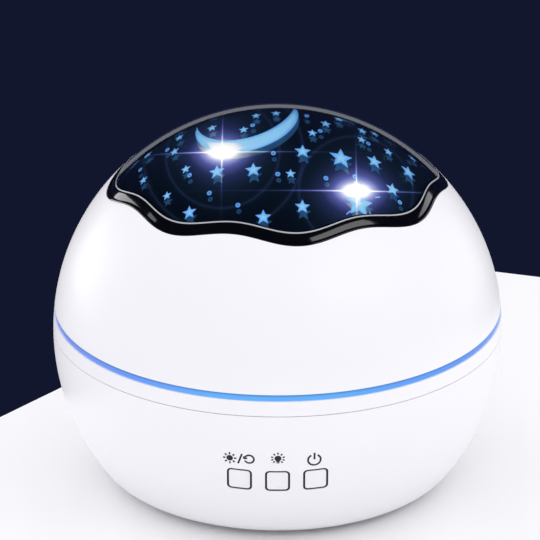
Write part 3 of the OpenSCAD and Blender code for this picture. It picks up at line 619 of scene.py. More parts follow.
def oval_turn(sizes, oval):
    """Turn of one of the moon's ovals."""
    turn = Matrix.Rotation(slant(sizes), 3, "X") @ Matrix.Rotation(math.radians(oval[4]), 3, "Z")
    return turn.to_euler()


def dome_top(sizes):
    """The highest point of the star dome, where each motif is drawn before it is turned to its spot."""
    return Vector((0, 0, sizes.dome_height + sizes.dome_radius))


def spot_turn(spot):
    """Turn that takes a piece from the top of the dome to a spot on it."""
    return Euler((math.radians(spot[1]), 0, math.radians(spot[0])))


def shift_spot(spot, sizes, across, rise):
    """The spot some way across and up in the front view."""
    outwards = Vector((0, 0, 1))
    outwards.rotate(spot_turn(spot))
    line = -slanted(sizes, 0, 0, 1).normalized()
    moved = Vector((across, 0, 0)) + slanted(sizes, 0, 1).normalized() * rise
    moved -= line * (moved.dot(outwards) / min(line.dot(outwards), -0.2))
    there = (outwards * sizes.dome_radius + moved).normalized()
    return math.degrees(math.atan2(there.x, -there.y)), math.degrees(math.acos(there.z))


def upright(spot, sizes):
    """Turn for a motif at a spot that stands it upright in the front view, and its stretch that way."""
    side, along, outwards = spot_turn(spot).to_matrix().col
    line = -slanted(sizes, 0, 0, 1).normalized()
    facing = -line.dot(outwards)
    if facing < 0.1:
        return 0.0, 1.0
    rise = slanted(sizes, 0, 1).normalized()
    tip = rise + line * (rise.dot(outwards) / facing)
    stretch = min(max((0.5 + 0.5 * facing) * tip.length, 1.0), 2.2)
    return math.atan2(-tip.dot(side), tip.dot(along)), stretch


def turn_to_spot(sizes, spot, lean):
    """Turn the motif just added on top of the dome to its spot."""
    centre = (0, 0, sizes.dome_height)
    turn_picked(lean, "Z", centre)
    turn_picked(math.radians(spot[1]), "X", centre)
    turn_picked(math.radians(spot[0]), "Z", centre)


def add_star(piece, sizes, spot, radius):
    """Add one five-pointed star to the piece being edited."""
    lean, stretch = upright(spot, sizes)
    top = dome_top(sizes)
    bpy.ops.mesh.select_all(action="DESELECT")
    bpy.ops.mesh.primitive_circle_add(vertices=10, radius=radius, fill_type="TRIFAN", location=top)
    mesh = edited_mesh(piece)
    core = mesh.verts.layers.float.get("core") or mesh.verts.layers.float.new("core")
    points = [v for v in mesh.verts if v.select]
    rim = [v for v in points if v.co.xy.length > radius / 2]
    for v in points:
        v[core] = 0.0 if v in rim else 1.0
    whole = [v.index for v in points]
    waist = [v.index for v in rim if round(math.atan2(v.co.x, v.co.y) / math.tau * 10) % 2]
    pick_points(piece, waist)
    bpy.ops.transform.resize(value=(STAR_WAIST,) * 3, center_override=top)
    pick_points(piece, whole)
    bpy.ops.transform.resize(value=(1, stretch, 1), center_override=top)
    turn_to_spot(sizes, spot, lean)


def lay_on_dome(piece, sizes, lift, thickness):
    """Curve flat motifs to the dome and give them their thickness."""
    bpy.ops.mesh.select_all(action="SELECT")
    bpy.ops.mesh.subdivide(number_cuts=2)
    apply_modifier(piece, "CAST", cast_type="SPHERE", factor=1.0, use_radius_as_size=False,
                   size=sizes.dome_radius + lift)
    bpy.ops.object.mode_set(mode="EDIT")
    bpy.ops.mesh.select_all(action="SELECT")
    bpy.ops.mesh.normals_make_consistent(inside=False)
    pick(piece, "faces", lambda f: f.normal.dot(f.calc_center_median()) < 0)
    bpy.ops.mesh.flip_normals()
    apply_modifier(piece, "SOLIDIFY", thickness=thickness, offset=-1)


def start_prints(name, height):
    """Open an empty piece for flat prints, with its origin at a height."""
    clear_selection()
    bpy.ops.mesh.primitive_circle_add(vertices=3, radius=MM, location=(0, 0, height))
    piece = begin(name)
    bpy.ops.mesh.select_all(action="SELECT")
    bpy.ops.mesh.delete(type="VERT")
    return piece


def add_dot(piece, sizes, spot, radius):
    """Add one round dot with a small open middle to the piece being edited."""
    top = dome_top(sizes)
    bpy.ops.mesh.select_all(action="DESELECT")
    bpy.ops.mesh.primitive_circle_add(vertices=16, radius=radius, location=top)
    outer = picked_points(piece)
    bpy.ops.mesh.extrude_region_move()
    bpy.ops.transform.resize(value=(DOT_OPENING, DOT_OPENING, 1), center_override=top)
    pick_points(piece, outer + picked_points(piece))
    lean, stretch = upright(spot, sizes)
    bpy.ops.transform.resize(value=(1, stretch, 1), center_override=top)
    turn_to_spot(sizes, spot, lean)


def crescent(name, sizes, lift, across=0.0, rise=0.0):
    """A crescent of thin dome shell: an oval patch less an oval hollow."""
    outer = sizes.dome_radius + lift
    inner = outer - PRINT_THICKNESS
    piece = turned(name, dome_outline(0, outer, inner, 50, 50), 128)
    # The hollow's cutter starts 2 mm further back, so that no sliver is left between the two
    for kind, oval, start in (("INTERSECT", MOON, 0), ("DIFFERENCE", MOON_HOLLOW, -2)):
        clear_selection()
        depth = sizes.dome_radius * 1.1
        bpy.ops.mesh.primitive_cylinder_add(
            vertices=192, radius=1, depth=depth, scale=(oval[2] * MM, oval[3] * MM, 1),
            rotation=oval_turn(sizes, oval),
            location=slanted(sizes, oval[0] + across, oval[1] + rise, depth / 2 / MM + start))
        cutter = bpy.context.object
        apply_modifier(piece, "BOOLEAN", object=cutter, operation=kind, solver="EXACT")
        bpy.data.objects.remove(cutter)
    piece.location.z = sizes.dome_height
    return piece


def add_ray(sizes, spot, across, rise, turn, length, width):
    """Add one short bar near a spot, turned from upright in the front view."""
    place = shift_spot(spot, sizes, across, rise)
    top = dome_top(sizes)
    bpy.ops.mesh.select_all(action="DESELECT")
    bpy.ops.mesh.primitive_plane_add(size=1, location=top)
    bpy.ops.transform.resize(value=(width, length, 1), center_override=top)
    turn_to_spot(sizes, place, upright(place, sizes)[0] + turn)


class STARLIGHT_OT_stars(bpy.types.Operator):
    """Model the lit stars and dots of the dome, and their dim painted reflection"""

    bl_idname = "starlight.stars"
    bl_label = "Stars and dots"

    def execute(self, context):
        sizes = context.scene.star_light_sizes
        stars = [(star[:2], star[2] * MM) for star in BIG_STARS + MID_STARS + SMALL_STARS]
        dots = [(dot, DOT_RADIUS) for dot in DOTS]
        lit = (LIT_LIFT, "Film, clear, lit blue", 0)
        dim = (DIM_LIFT, "Film, dim blue second print", -sizes.second_print)
        for name, draw, motifs, (lift, material, shift) in (
                ("lit_stars", add_star, stars, lit), ("second_print_stars", add_star, stars, dim),
                ("lit_dots", add_dot, dots, lit), ("second_print_dots", add_dot, dots, dim)):
            piece = start_prints(name, sizes.dome_height)
            for spot, radius in motifs:
                draw(piece, sizes, shift_spot(spot, sizes, -REFLECTION_DRIFT * shift, shift), radius)
            self.finish(piece, sizes, lift, material)
        piece = start_prints("lit_rays", sizes.dome_height)
        biggest = max(BIG_STARS, key=lambda star: star[2])
        for across, rise, degrees in RAYS:
            add_ray(sizes, biggest[:2], across * MM, rise * MM, math.radians(degrees), 1.7 * MM, 0.35 * MM)
        self.finish(piece, sizes, LIT_LIFT, "Film, clear, lit blue")
        return {"FINISHED"}

    def finish(self, piece, sizes, lift, material):
        """Lay finished motifs on the dome and give them their material and body"""
        lay_on_dome(piece, sizes, lift, PRINT_THICKNESS)
        finish_piece(piece, bpy.data.materials[material], 30)
        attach(piece, "star_turntable")


class STARLIGHT_OT_moon(bpy.types.Operator):
    """Model the lit crescent moon of the dome, and its dim painted reflection"""

    bl_idname = "starlight.moon"
    bl_label = "Crescent moon"

    def execute(self, context):
        sizes = context.scene.star_light_sizes
        fall = sizes.second_print / MM
        lit = crescent("lit_moon", sizes, LIT_LIFT)
        dim = crescent("second_print_moon", sizes, DIM_LIFT, REFLECTION_DRIFT * fall, -fall)
        for piece, material in ((lit, "Film, clear, lit blue moon"), (dim, "Film, dim blue second print")):
            finish_piece(piece, bpy.data.materials[material], 30)
            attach(piece, "star_turntable")
        return {"FINISHED"}


# Widths and heights behind and round a button's cap, and the depth of its pad under the ball
FLANGE_SIZE = (8.9 * MM, 9.6 * MM)
GAP_SHADOW_SIZE = (6.96 * MM, 7.66 * MM)
PAD_DEPTH = 4.82 * MM
STEM_RADIUS = 1.6 * MM


def cap_block(name, width, height, low, high, corner, middle_x):
    """A block with rounded upright corners, standing along the press axis beside the middle."""
    clear_selection()
    bpy.ops.mesh.primitive_cube_add(
        size=1, location=(middle_x, 0, (low + high) / 2), scale=(width, height, high - low))
    bpy.ops.object.transform_apply(location=True, rotation=True, scale=True)
    piece = begin(name)
    pick(piece, "edges", lambda e: abs(e.verts[0].co.z - e.verts[1].co.z) > (high - low) / 2)
    bpy.ops.mesh.bevel(offset=corner, segments=6)
    bpy.ops.object.mode_set(mode="OBJECT")
    return piece


def crown(piece, radius):
    """Cut a block's top to a ball round the origin."""
    clear_selection()
    bpy.ops.mesh.primitive_uv_sphere_add(
        segments=160, ring_count=80, radius=radius, rotation=(math.pi / 2, 0, 0))
    ball = bpy.context.object
    apply_modifier(piece, "BOOLEAN", object=ball, operation="INTERSECT", solver="EXACT")
    bpy.data.objects.remove(ball)


class STARLIGHT_OT_buttons(bpy.types.Operator):
    """Model the three white push buttons with their flanges and stems"""

    bl_idname = "starlight.buttons"
    bl_label = "Push buttons"

    def execute(self, context):
        sizes = context.scene.star_light_sizes
        pad = sizes.ball_radius - PAD_DEPTH
        for name, node, body, place in (("mode_push_button", "mode_button", "mode_key", -1),
                                        ("lamp_push_button", "lamp_button", "lamp_key", 0),
                                        ("power_push_button", "power_button", "power_key", 1)):
            middle_x = place * sizes.button_pitch
            cap = cap_block(name, sizes.button_width, sizes.button_height, pad - 0.5 * MM,
                            sizes.ball_radius + 1 * MM, 0.85 * MM, middle_x)
            crown(cap, sizes.ball_radius + 0.02 * MM)
            apply_modifier(cap, "BEVEL", width=0.16 * MM, segments=3, limit_method="ANGLE",
                           angle_limit=math.radians(50))
            flange = cap_block("flange", *FLANGE_SIZE, pad - 1.25 * MM, pad - 0.05 * MM,
                               1.0 * MM, middle_x)
            clear_selection()
            bpy.ops.mesh.primitive_cylinder_add(
                vertices=32, radius=STEM_RADIUS, depth=1.3 * MM, location=(middle_x, 0, pad - 1.7 * MM))
            stem = begin("stem")
            pick(stem, "faces", lambda f: f.normal.z < -0.9)
            bpy.ops.mesh.bevel(offset=0.2 * MM, segments=2)
            bpy.ops.object.mode_set(mode="OBJECT")
            piece = join_pieces([cap, flange, stem])
            # Painted shadow: a black matt frame round the cap, just under the ball's surface, darkens the gap
            # to the shell
            gap_shadow = cap_block(name + "_sleeve", *GAP_SHADOW_SIZE, pad - 0.1 * MM,
                               sizes.ball_radius + 1 * MM, 1.25 * MM, middle_x)
            crown(gap_shadow, sizes.ball_radius - 0.15 * MM)
            for part, material, slot in ((piece, "ABS, white, button", "white_button"),
                                         (gap_shadow, "Rubber, black, thin", "foot_rubber")):
                settle(part)
                part.location = (0, 0, sizes.centre_height)
                part.rotation_euler = (math.pi / 2 + sizes.button_drop, 0, 0)
                finish_piece(part, bpy.data.materials[material], 40)
                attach(part, body)
            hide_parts(node)
        return {"FINISHED"}


def strip(start, end, width):
    """Add a flat bar between two points of the symbol being edited, in mm."""
    start, end = Vector(start).to_3d() * MM, Vector(end).to_3d() * MM
    along = end - start
    middle = (start + end) / 2
    bpy.ops.mesh.select_all(action="DESELECT")
    bpy.ops.mesh.primitive_plane_add(size=1, location=middle)
    bpy.ops.transform.resize(value=(along.length, width * MM, 1), center_override=middle)
    turn_picked(math.atan2(along.y, along.x), "Z", middle)


def hoop(piece, middle, radius, width, start=0.0, end=360.0):
    """Add a flat ring, or the part of one between two angles, to the symbol being edited."""
    outer = (radius + width / 2) * MM
    inner = (radius - width / 2) * MM
    centre = Vector(middle).to_3d() * MM
    before = len(bmesh.from_edit_mesh(piece.data).faces)
    bpy.ops.mesh.select_all(action="DESELECT")
    bpy.ops.mesh.primitive_circle_add(vertices=72, radius=outer, location=centre)
    bpy.ops.mesh.extrude_region_move()
    bpy.ops.transform.resize(value=(inner / outer, inner / outer, 1), center_override=centre)

    def left_out(face):
        spot = face.calc_center_median() - centre
        angle = math.degrees(math.atan2(spot.y, spot.x))
        return face.index >= before and not any(start <= angle + turn <= end for turn in (-360, 0, 360))

    if pick(piece, "faces", left_out):
        bpy.ops.mesh.delete(type="FACE")


def disc(middle, radius):
    """Add a small round spot to the symbol being edited."""
    bpy.ops.mesh.select_all(action="DESELECT")
    bpy.ops.mesh.primitive_circle_add(vertices=32, radius=radius * MM, fill_type="TRIFAN",
                                      location=Vector(middle).to_3d() * MM)


def ray_strips(middle, near, far, width, angles):
    """Add short bars round a point of the symbol being edited, at angles in degrees."""
    for angle in angles:
        out = Vector((math.cos(math.radians(angle)), math.sin(math.radians(angle))))
        strip(Vector(middle) + out * near, Vector(middle) + out * far, width)


def print_symbol(piece, sizes, azimuth, angle):
    """Lay a finished flat symbol on the ball at an azimuth and an angle from the top."""
    bpy.ops.mesh.select_all(action="SELECT")
    bpy.ops.mesh.remove_doubles(threshold=0.001 * MM)
    bpy.ops.mesh.subdivide(number_cuts=2)
    bpy.ops.object.mode_set(mode="OBJECT")
    turn = spot_turn((azimuth, angle))
    place = Vector((0, 0, sizes.ball_radius))
    place.rotate(turn)
    piece.rotation_euler = turn
    piece.location = place
    settle(piece)
    apply_modifier(piece, "CAST", cast_type="SPHERE", factor=1.0, use_radius_as_size=False,
                   size=sizes.ball_radius + 0.03 * MM)
    bpy.ops.object.mode_set(mode="EDIT")
    pick(piece, "faces", lambda f: f.normal.dot(f.calc_center_median()) < 0)
    bpy.ops.mesh.flip_normals()
    apply_modifier(piece, "SOLIDIFY", thickness=0.05 * MM, offset=-1)
    piece.location.z = sizes.centre_height
    finish_piece(piece, bpy.data.materials["Ink, black, pad printed"], 30)
    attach(piece, "root")


class STARLIGHT_OT_symbols(bpy.types.Operator):
    """Print the small black symbols over the buttons: sun, slash and turning arrow, bulb, power"""

    bl_idname = "starlight.symbols"
    bl_label = "Printed symbols"

    def execute(self, context):
        sizes = context.scene.star_light_sizes
        piece = start_prints("mode_symbol", 0)
        disc((-2.89, 0), 0.92)
        ray_strips((-2.89, 0), 1.22, 1.9, 0.46, range(0, 360, 45))
        strip((-0.58, -1.67), (0.61, 1.67), 0.5)
        hoop(piece, (2.6, 0), 1.32, 0.5, 205, 515)
        strip((1.01, 0.8), (1.25, 0.02), 0.44)
        strip((1.2, 0.08), (2.07, 0.32), 0.44)
        print_symbol(piece, sizes, -9.4, 100.55)
        piece = start_prints("lamp_symbol", 0)
        disc((0, 0), 0.95)
        strip((0, -0.6), (0, -1.2), 1.0)
        strip((-0.4, -1.5), (0.4, -1.5), 0.3)
        ray_strips((0, 0), 1.34, 1.95, 0.4, (-48, -17, 15, 52, 90, 128, 165, 197, 228))
        print_symbol(piece, sizes, 0.1, 100.1)
        piece = start_prints("power_symbol", 0)
        hoop(piece, (0, -0.05), 1.78, 0.52, 122, 418)
        strip((0, 0.1), (0, 2.3), 0.52)
        print_symbol(piece, sizes, 9.2, 100.8)
        return {"FINISHED"}


class STARLIGHT_OT_materials(bpy.types.Operator):
    """Make the materials and give the carried-over parts theirs"""

    bl_idname = "starlight.materials"
    bl_label = "Materials"

    def execute(self, context):
        colours = context.scene.star_light_colours
        sizes = context.scene.star_light_sizes
        # ABS, injection moulded in a satin tool: an even white with soft, wide highlights
        white = moulded("ABS, white, satin moulded", tuple(colours.shell), 0.33, 0.5 * MM,
                        spread=0.05, relief=0.006 * MM, shade=0.02, IOR=1.54)
        # The same ABS in a finer tool: a little glossier than the shell
        moulded("ABS, white, button", tuple(colours.button), 0.28, 0.4 * MM,
                spread=0.05, relief=0.005 * MM, shade=0.02, IOR=1.54)
        # ABS in a mirror-polished tool: black with sharp reflections of the lamps
        moulded("ABS, black, piano gloss", tuple(colours.bezel), 0.09, 3 * MM,
                spread=0.03, relief=0.002 * MM, shade=0.3, IOR=1.54, Coat_Weight=1.0,
                Coat_Roughness=0.05)
        # Painted shadow in the gaps round the buttons: matt and dark
        moulded("Rubber, black, thin", linear("#070708"), 0.7, 0.5 * MM, relief=0.02 * MM, shade=0.2)
        # Cut edge of clear sheet: frosted, it gathers light along its length
        moulded("Polycarbonate, cut edge", linear("#C4C7CB"), 0.3, 0.4 * MM, shade=0.2, IOR=1.58)
        self.window()
        glow = self.lamp_glow(sizes)
        self.star_film(colours, glow)
        self.lit_film(sizes, colours, glow)
        self.light_ring(sizes)
        # Pad-printing ink: dense matt black with a faint mottle
        moulded("Ink, black, pad printed", tuple(colours.symbol), 0.55, 0.3 * MM,
                spread=0.1, relief=0.004 * MM, shade=0.25)
        inside = {
            "white_shell": white,
            "white_button": bpy.data.materials["ABS, white, button"],
            "inner_white": moulded("ABS, white, matt moulded", linear("#E4E4E2"), 0.5, 0.4 * MM,
                                   IOR=1.54),
            "natural_acetal": moulded("Acetal, natural, moulded", linear("#E8E3D2"), 0.38, 0.6 * MM,
                                      IOR=1.48),
            "plated_steel": self.steel("Steel, zinc plated", "#C4C6CA", 0.3),
            "black_steel": self.steel("Steel, black oxide", "#4A4A4E", 0.42),
            "green_board": moulded("Circuit board, green solder mask", linear("#1B6B3A"), 0.35, 0.8 * MM,
                                   relief=0.02 * MM, shade=0.2),
            "white_board": moulded("Circuit board, white solder mask", linear("#E9E9E4"), 0.35, 0.8 * MM,
                                   relief=0.02 * MM),
            "led_yellow": self.phosphor(),
            "clear_lens": self.lens(),
            "black_moulding": moulded("Nylon, black, moulded", linear("#1D1D1F"), 0.48, 0.5 * MM,
                                      shade=0.2),
            "connector_white": moulded("Nylon, natural, moulded", linear("#DEDACB"), 0.45, 0.5 * MM),
            "foot_rubber": moulded("Rubber, black, moulded", linear("#191919"), 0.75, 0.7 * MM,
                                   relief=0.03 * MM, shade=0.2),
            "wire_jacket": moulded("PVC wire jacket, grey", linear("#6C6C70"), 0.45, 1.2 * MM,
                                   relief=0.02 * MM),
            "blue_film": bpy.data.materials["Film, clear, lit blue"],
            "black_film": bpy.data.materials["Film, black print, glossy"],
            "light_ring": bpy.data.materials["Acrylic, frosted, lit blue"],
            "black_bezel": bpy.data.materials["ABS, black, piano gloss"],
            "clear_window": bpy.data.materials["Polycarbonate, clear, polished"],
        }
        slots = {row["node"]: row["material_slot"] for row in frame["record"]["subparts"]}
        for name, node in frame["nodes"].items():
            for slot in node.material_slots:
                slot.material = inside[slots[name]]
        return {"FINISHED"}

    def window(self):
        """Polycarbonate, polished: clear, with a painted grey to dark blue band where its wall is seen edge
        on
        """
        material, shader = new_material(
            "Polycarbonate, clear, polished", linear("#F8FAFC"), 0.02,
            IOR=1.58, Transmission_Weight=1.0)
        scuffs = add(material, "ShaderNodeMapRange",
                     {"Value": object_noise(material, 9 * MM, 4.0), "From Min": 0.45, "From Max": 0.8,
                      "To Min": 0.015, "To Max": 0.05})
        join(material, scuffs.outputs["Result"], shader, "Roughness")
        # Painted sheen and shade: near the outline the glass is mostly swapped for a flat grey to dark blue
        # diffuse colour
        edge_on = add(material, "ShaderNodeLayerWeight", {"Blend": 0.5}).outputs["Facing"]
        painted_band_share = add(material, "ShaderNodeMapRange",
                    {"Value": edge_on, "From Min": 0.79, "From Max": 0.81, "To Min": 0.0, "To Max": 0.9})
        shade = add(material, "ShaderNodeValToRGB", {"Fac": edge_on})
        shade.color_ramp.elements[0].color = linear("#6C6C71")
        shade.color_ramp.elements[0].position = 0.885
        shade.color_ramp.elements[1].color = linear("#222B44")
        shade.color_ramp.elements[1].position = 0.905
        wall = add(material, "ShaderNodeBsdfDiffuse", {"Color": shade.outputs["Color"]})
        mixed = add(material, "ShaderNodeMixShader",
                    {0: painted_band_share.outputs["Result"], 1: shader.outputs["BSDF"], 2: wall.outputs["BSDF"]})
        out = material.node_tree.nodes["Material Output"]
        material.node_tree.links.new(mixed.outputs["Shader"], out.inputs["Surface"])

    def maths(self, tree, operation, *values):
        """A sum, product or other operation on values or on other nodes' outputs"""
        return add(tree, "ShaderNodeMath", dict(enumerate(values)), operation=operation).outputs["Value"]

    def length_in_plane(self, tree, place, scale=(1, 1, 0)):
        """How far a place is from the origin, with its axes scaled and its depth left out"""
        plane = add(tree, "ShaderNodeVectorMath", {0: place, 1: scale}, operation="MULTIPLY")
        return add(tree, "ShaderNodeVectorMath", {0: plane.outputs["Vector"]},
                   operation="LENGTH").outputs["Value"]

    def falloff(self, tree, value, width, power):
        """1 at zero, falling to nothing over a few widths"""
        share = self.maths(tree, "DIVIDE", value, width)
        return self.maths(tree, "POWER", self.maths(tree, "MULTIPLY_ADD", share, share, 1.0), -power)

    def weighed(self, tree, value, weight, other=0.0):
        """A value times a weight, plus another value"""
        return self.maths(tree, "MULTIPLY_ADD", value, weight, other)

    def lamp_glow(self, sizes):
        """How brightly the painted light of the two lamps shows at a point: core, haze, glints and faint
        rings, all painted, in mm
        """
        group = bpy.data.node_groups.new("Lamp glow", "ShaderNodeTree")
        group.interface.new_socket(name="Glow", in_out="OUTPUT", socket_type="NodeSocketFloat")
        out = add(group, "NodeGroupOutput")
        spot = add(group, "ShaderNodeTexCoord").outputs["Object"]
        total = 0.0
        for place, rims in zip(LAMP_SPOTS, ((16.0, 22.6), (16.0,))):
            there = slanted(sizes, *place) + Vector((0, 0, sizes.dome_height))
            flat = add(group, "ShaderNodeMapping",
                       {"Vector": spot, "Location": there, "Rotation": (slant(sizes), 0, 0),
                        "Scale": (MM, MM, MM)}, vector_type="TEXTURE").outputs["Vector"]
            away = self.length_in_plane(group, flat)
            # The core is twice as wide as it is high
            near = self.length_in_plane(group, flat, (0.66, 1.3, 0))
            axes = add(group, "ShaderNodeSeparateXYZ", {"Vector": flat}).outputs
            total = self.weighed(group, self.falloff(group, near, 3.0, 1.8), 1.6, total)
            total = self.weighed(group, self.falloff(group, away, 8.0, 2), 0.42, total)
            # Painted glints: thin bright streaks along and across each lamp's spot
            for long, short, reach in (("X", "Y", 19.0), ("Y", "X", 9.0)):
                line = self.maths(group, "MULTIPLY", self.falloff(group, axes[short], 0.18, 1.5),
                                  self.falloff(group, axes[long], reach, 2))
                total = self.weighed(group, line, 0.7, total)
            # Painted rings: faint bright circles round a lamp's spot
            for rim in rims:
                off = self.maths(group, "SUBTRACT", away, rim)
                total = self.weighed(group, self.falloff(group, off, 0.5, 2), 0.06, total)
        # Nothing of it shows on the far side of the dome, where the same lines meet it again
        front = add(group, "ShaderNodeMapRange", {"Value": axes["Z"], "From Max": 10.0}).outputs["Result"]
        group.links.new(self.maths(group, "MULTIPLY", total, front), out.inputs["Glow"])
        return group

    def glow_of(self, material, group):
        """The glow at each point of a material"""
        return add(material, "ShaderNodeGroup", node_tree=group).outputs["Glow"]

    def painted_lamp_strength(self, material, group, shader):
        """Painted light: the film is a quarter brighter straight over a lamp, so that it is white through the
        window
        """
        strength = add(material, "ShaderNodeMapRange",
                       {"Value": self.glow_of(material, group), "From Min": 0.6, "From Max": 1.1,
                        "To Min": 1.0, "To Max": 1.25})
        join(material, strength.outputs["Result"], shader, "Emission Strength")

    def star_film(self, colours, glow):
        """Black print on film: glossy, with the painted glow of the two lamps under it"""
        material, shader = new_material("Film, black print, glossy", tuple(colours.star_dome), 0.1, IOR=1.5)
        # Painted glow: the black film's emission runs from near black to white where the painted lamp glow is
        # strongest
        tint = add(material, "ShaderNodeValToRGB", {"Fac": self.glow_of(material, glow)})
        ramp = tint.color_ramp
        ramp.elements[0].color = linear("#02050A")
        ramp.elements[1].color = linear("#FFFFFF")
        for place, code in ((0.05, "#0E1B2A"), (0.15, "#26305A"), (0.35, "#5C63AE"), (0.65, "#B5B9F0")):
            ramp.elements.new(place).color = linear(code)
        join(material, tint.outputs["Color"], shader, "Emission Color")
        self.painted_lamp_strength(material, glow, shader)
        mottle = add(material, "ShaderNodeMapRange",
                     {"Value": object_noise(material, 11 * MM), "To Min": 0.06, "To Max": 0.14})
        join(material, mottle.outputs["Result"], shader, "Roughness")

    def lit(self, material, shader, core, colours, glow):
        """Clear film lit from below: pale where core is 1, deeper where it is 0, painted white over the lamps
        """
        patched = self.weighed(material, object_noise(material, 6 * MM), 0.4, core)
        whole = self.weighed(material, self.glow_of(material, glow), 0.8,
                             self.weighed(material, patched, 0.5))
        tint = add(material, "ShaderNodeValToRGB", {"Fac": whole})
        ramp = tint.color_ramp
        ramp.elements[0].color = tuple(colours.lit_deep)
        ramp.elements[1].color = linear("#FFFFFF")
        ramp.elements.new(0.45).color = tuple(colours.lit_pale)
        ramp.elements.new(0.8).color = linear("#A9DEFF")
        join(material, tint.outputs["Color"], shader, "Emission Color")
        self.painted_lamp_strength(material, glow, shader)

    def oval_share(self, material, sizes, oval):
        """How far out a point lies in an oval of the moon: 1 on its line"""
        middle = slanted(sizes, oval[0], oval[1]) + Vector((0, 0, sizes.dome_height))
        spot = add(material, "ShaderNodeTexCoord").outputs["Object"]
        flat = add(material, "ShaderNodeMapping",
                   {"Vector": spot, "Location": middle, "Rotation": oval_turn(sizes, oval),
                    "Scale": (oval[2] * MM, oval[3] * MM, MM)}, vector_type="TEXTURE").outputs["Vector"]
        return self.length_in_plane(material, flat)

    def lit_film(self, sizes, colours, glow):
        """The films of the stars and of the moon, and of their dim painted reflection"""
        material, shader = new_material("Film, clear, lit blue", linear("#1E4E8C"), 0.25, IOR=1.5)
        core = add(material, "ShaderNodeAttribute", attribute_name="core").outputs["Fac"]
        self.lit(material, shader, core, colours, glow)
        # The moon is paler inside and deeper along both of its lines
        material, shader = new_material("Film, clear, lit blue moon", linear("#1E4E8C"), 0.25, IOR=1.5)
        inward = self.maths(material, "SUBTRACT", 1.0, self.oval_share(material, sizes, MOON))
        outward = self.maths(material, "SUBTRACT", self.oval_share(material, sizes, MOON_HOLLOW), 1.0)
        nearer = self.maths(material, "MINIMUM", inward, outward)
        core = add(material, "ShaderNodeMapRange", {"Value": nearer, "From Max": 0.11, "To Max": 0.85})
        self.lit(material, shader, core.outputs["Result"], colours, glow)
        # Painted reflection: a dim, glowing blue copy of each lit motif, set a little below it
        dim, shader = new_material("Film, dim blue second print", linear("#10233A"), 0.2, IOR=1.5)
        level = self.weighed(dim, self.glow_of(dim, glow), 1.0,
                             self.weighed(dim, object_noise(dim, 5 * MM), 0.2))
        tint = add(dim, "ShaderNodeValToRGB", {"Fac": level})
        tint.color_ramp.elements[0].color = linear("#1A3656")
        tint.color_ramp.elements[1].color = linear("#FFFFFF")
        tint.color_ramp.elements.new(0.25).color = tuple(colours.second_print)
        join(dim, tint.outputs["Color"], shader, "Emission Color")
        self.painted_lamp_strength(dim, glow, shader)

    def light_ring(self, sizes):
        """Frosted acrylic over small lamps: violet at the left, sky blue in front, blue at right, with
        painted shade along the upper edge
        """
        material, shader = new_material("Acrylic, frosted, lit blue", linear("#2C5596"), 0.3, IOR=1.49)
        spot = add(material, "ShaderNodeSeparateXYZ",
                   {"Vector": add(material, "ShaderNodeTexCoord").outputs["Object"]})
        across = add(material, "ShaderNodeMapRange",
                     {"Value": spot.outputs["X"], "From Min": -sizes.ball_radius,
                      "From Max": sizes.ball_radius})
        tint = add(material, "ShaderNodeValToRGB", {"Fac": across.outputs["Result"]})
        ramp = tint.color_ramp
        ramp.elements[0].color = linear("#7478CE")
        ramp.elements[1].color = linear("#4C78CC")
        for place, code in ((0.08, "#7B8FDA"), (0.2, "#6492E2"), (0.38, "#5AA8E6"), (0.62, "#57A6E2"),
                            (0.85, "#4F8CDC")):
            ramp.elements.new(place).color = linear(code)
        low, high = tidy_length(RING_LOW.z), tidy_length(RING_HIGH.z)
        # Painted shade: the glow dims towards the upper edge, where the cover overhangs the ring
        painted_overhang_shade = add(material, "ShaderNodeMapRange",
                    {"Value": spot.outputs["Z"], "From Min": high - 0.9 * MM, "From Max": high,
                     "To Min": 0.85, "To Max": 0.3})
        join(material, tint.outputs["Color"], shader, "Emission Color")
        join(material, painted_overhang_shade.outputs["Result"], shader, "Emission Strength")

    def steel(self, name, code, roughness):
        """Pressed or turned steel under a thin coat: grey metal with fine brushed streaks"""
        material, shader = new_material(name, linear(code), roughness, Metallic=1.0)
        streaks = object_noise(material, 0.8 * MM, 4.0)
        gloss = add(material, "ShaderNodeMapRange",
                    {"Value": streaks, "To Min": roughness - 0.1, "To Max": roughness + 0.12})
        join(material, gloss.outputs["Result"], shader, "Roughness")
        bump = add(material, "ShaderNodeBump", {"Height": streaks, "Distance": 0.01 * MM, "Strength": 0.5})
        join(material, bump.outputs["Normal"], shader, "Normal")
        return material

    def phosphor(self):
        """Yellow phosphor in a small lamp: matt yellow with a grainy fill"""
        return moulded("Phosphor resin, yellow", linear("#F2D86A"), 0.4, 0.3 * MM, shade=0.2)

    def lens(self):
        """Clear acrylic lens: glass-like, with a faint moulding swirl"""
        material, shader = new_material("Acrylic, clear, moulded", linear("#F4F8FF"), 0.05,
                                        IOR=1.49, Transmission_Weight=1.0)
        swirl = add(material, "ShaderNodeMapRange",
                    {"Value": object_noise(material, 2 * MM), "To Min": 0.02, "To Max": 0.1})
        join(material, swirl.outputs["Result"], shader, "Roughness")
        return material


TABLE_SIDE = 0.8
TABLE_THICKNESS = 0.008
LAMP_DISTANCE = 0.6
# The camera looks down by this many degrees, from this far off, through a lens in mm
CAMERA_TILT = 24.02
CAMERA_DISTANCE = 1.1739
CAMERA_LENS = 269.6


def round_the_ball(azimuth, elevation, distance, centre):
    """A point seen from the ball's centre at an azimuth and elevation in degrees."""
    a, e = math.radians(azimuth), math.radians(elevation)
    return centre + distance * Vector((math.sin(a) * math.cos(e), -math.cos(a) * math.cos(e), math.sin(e)))


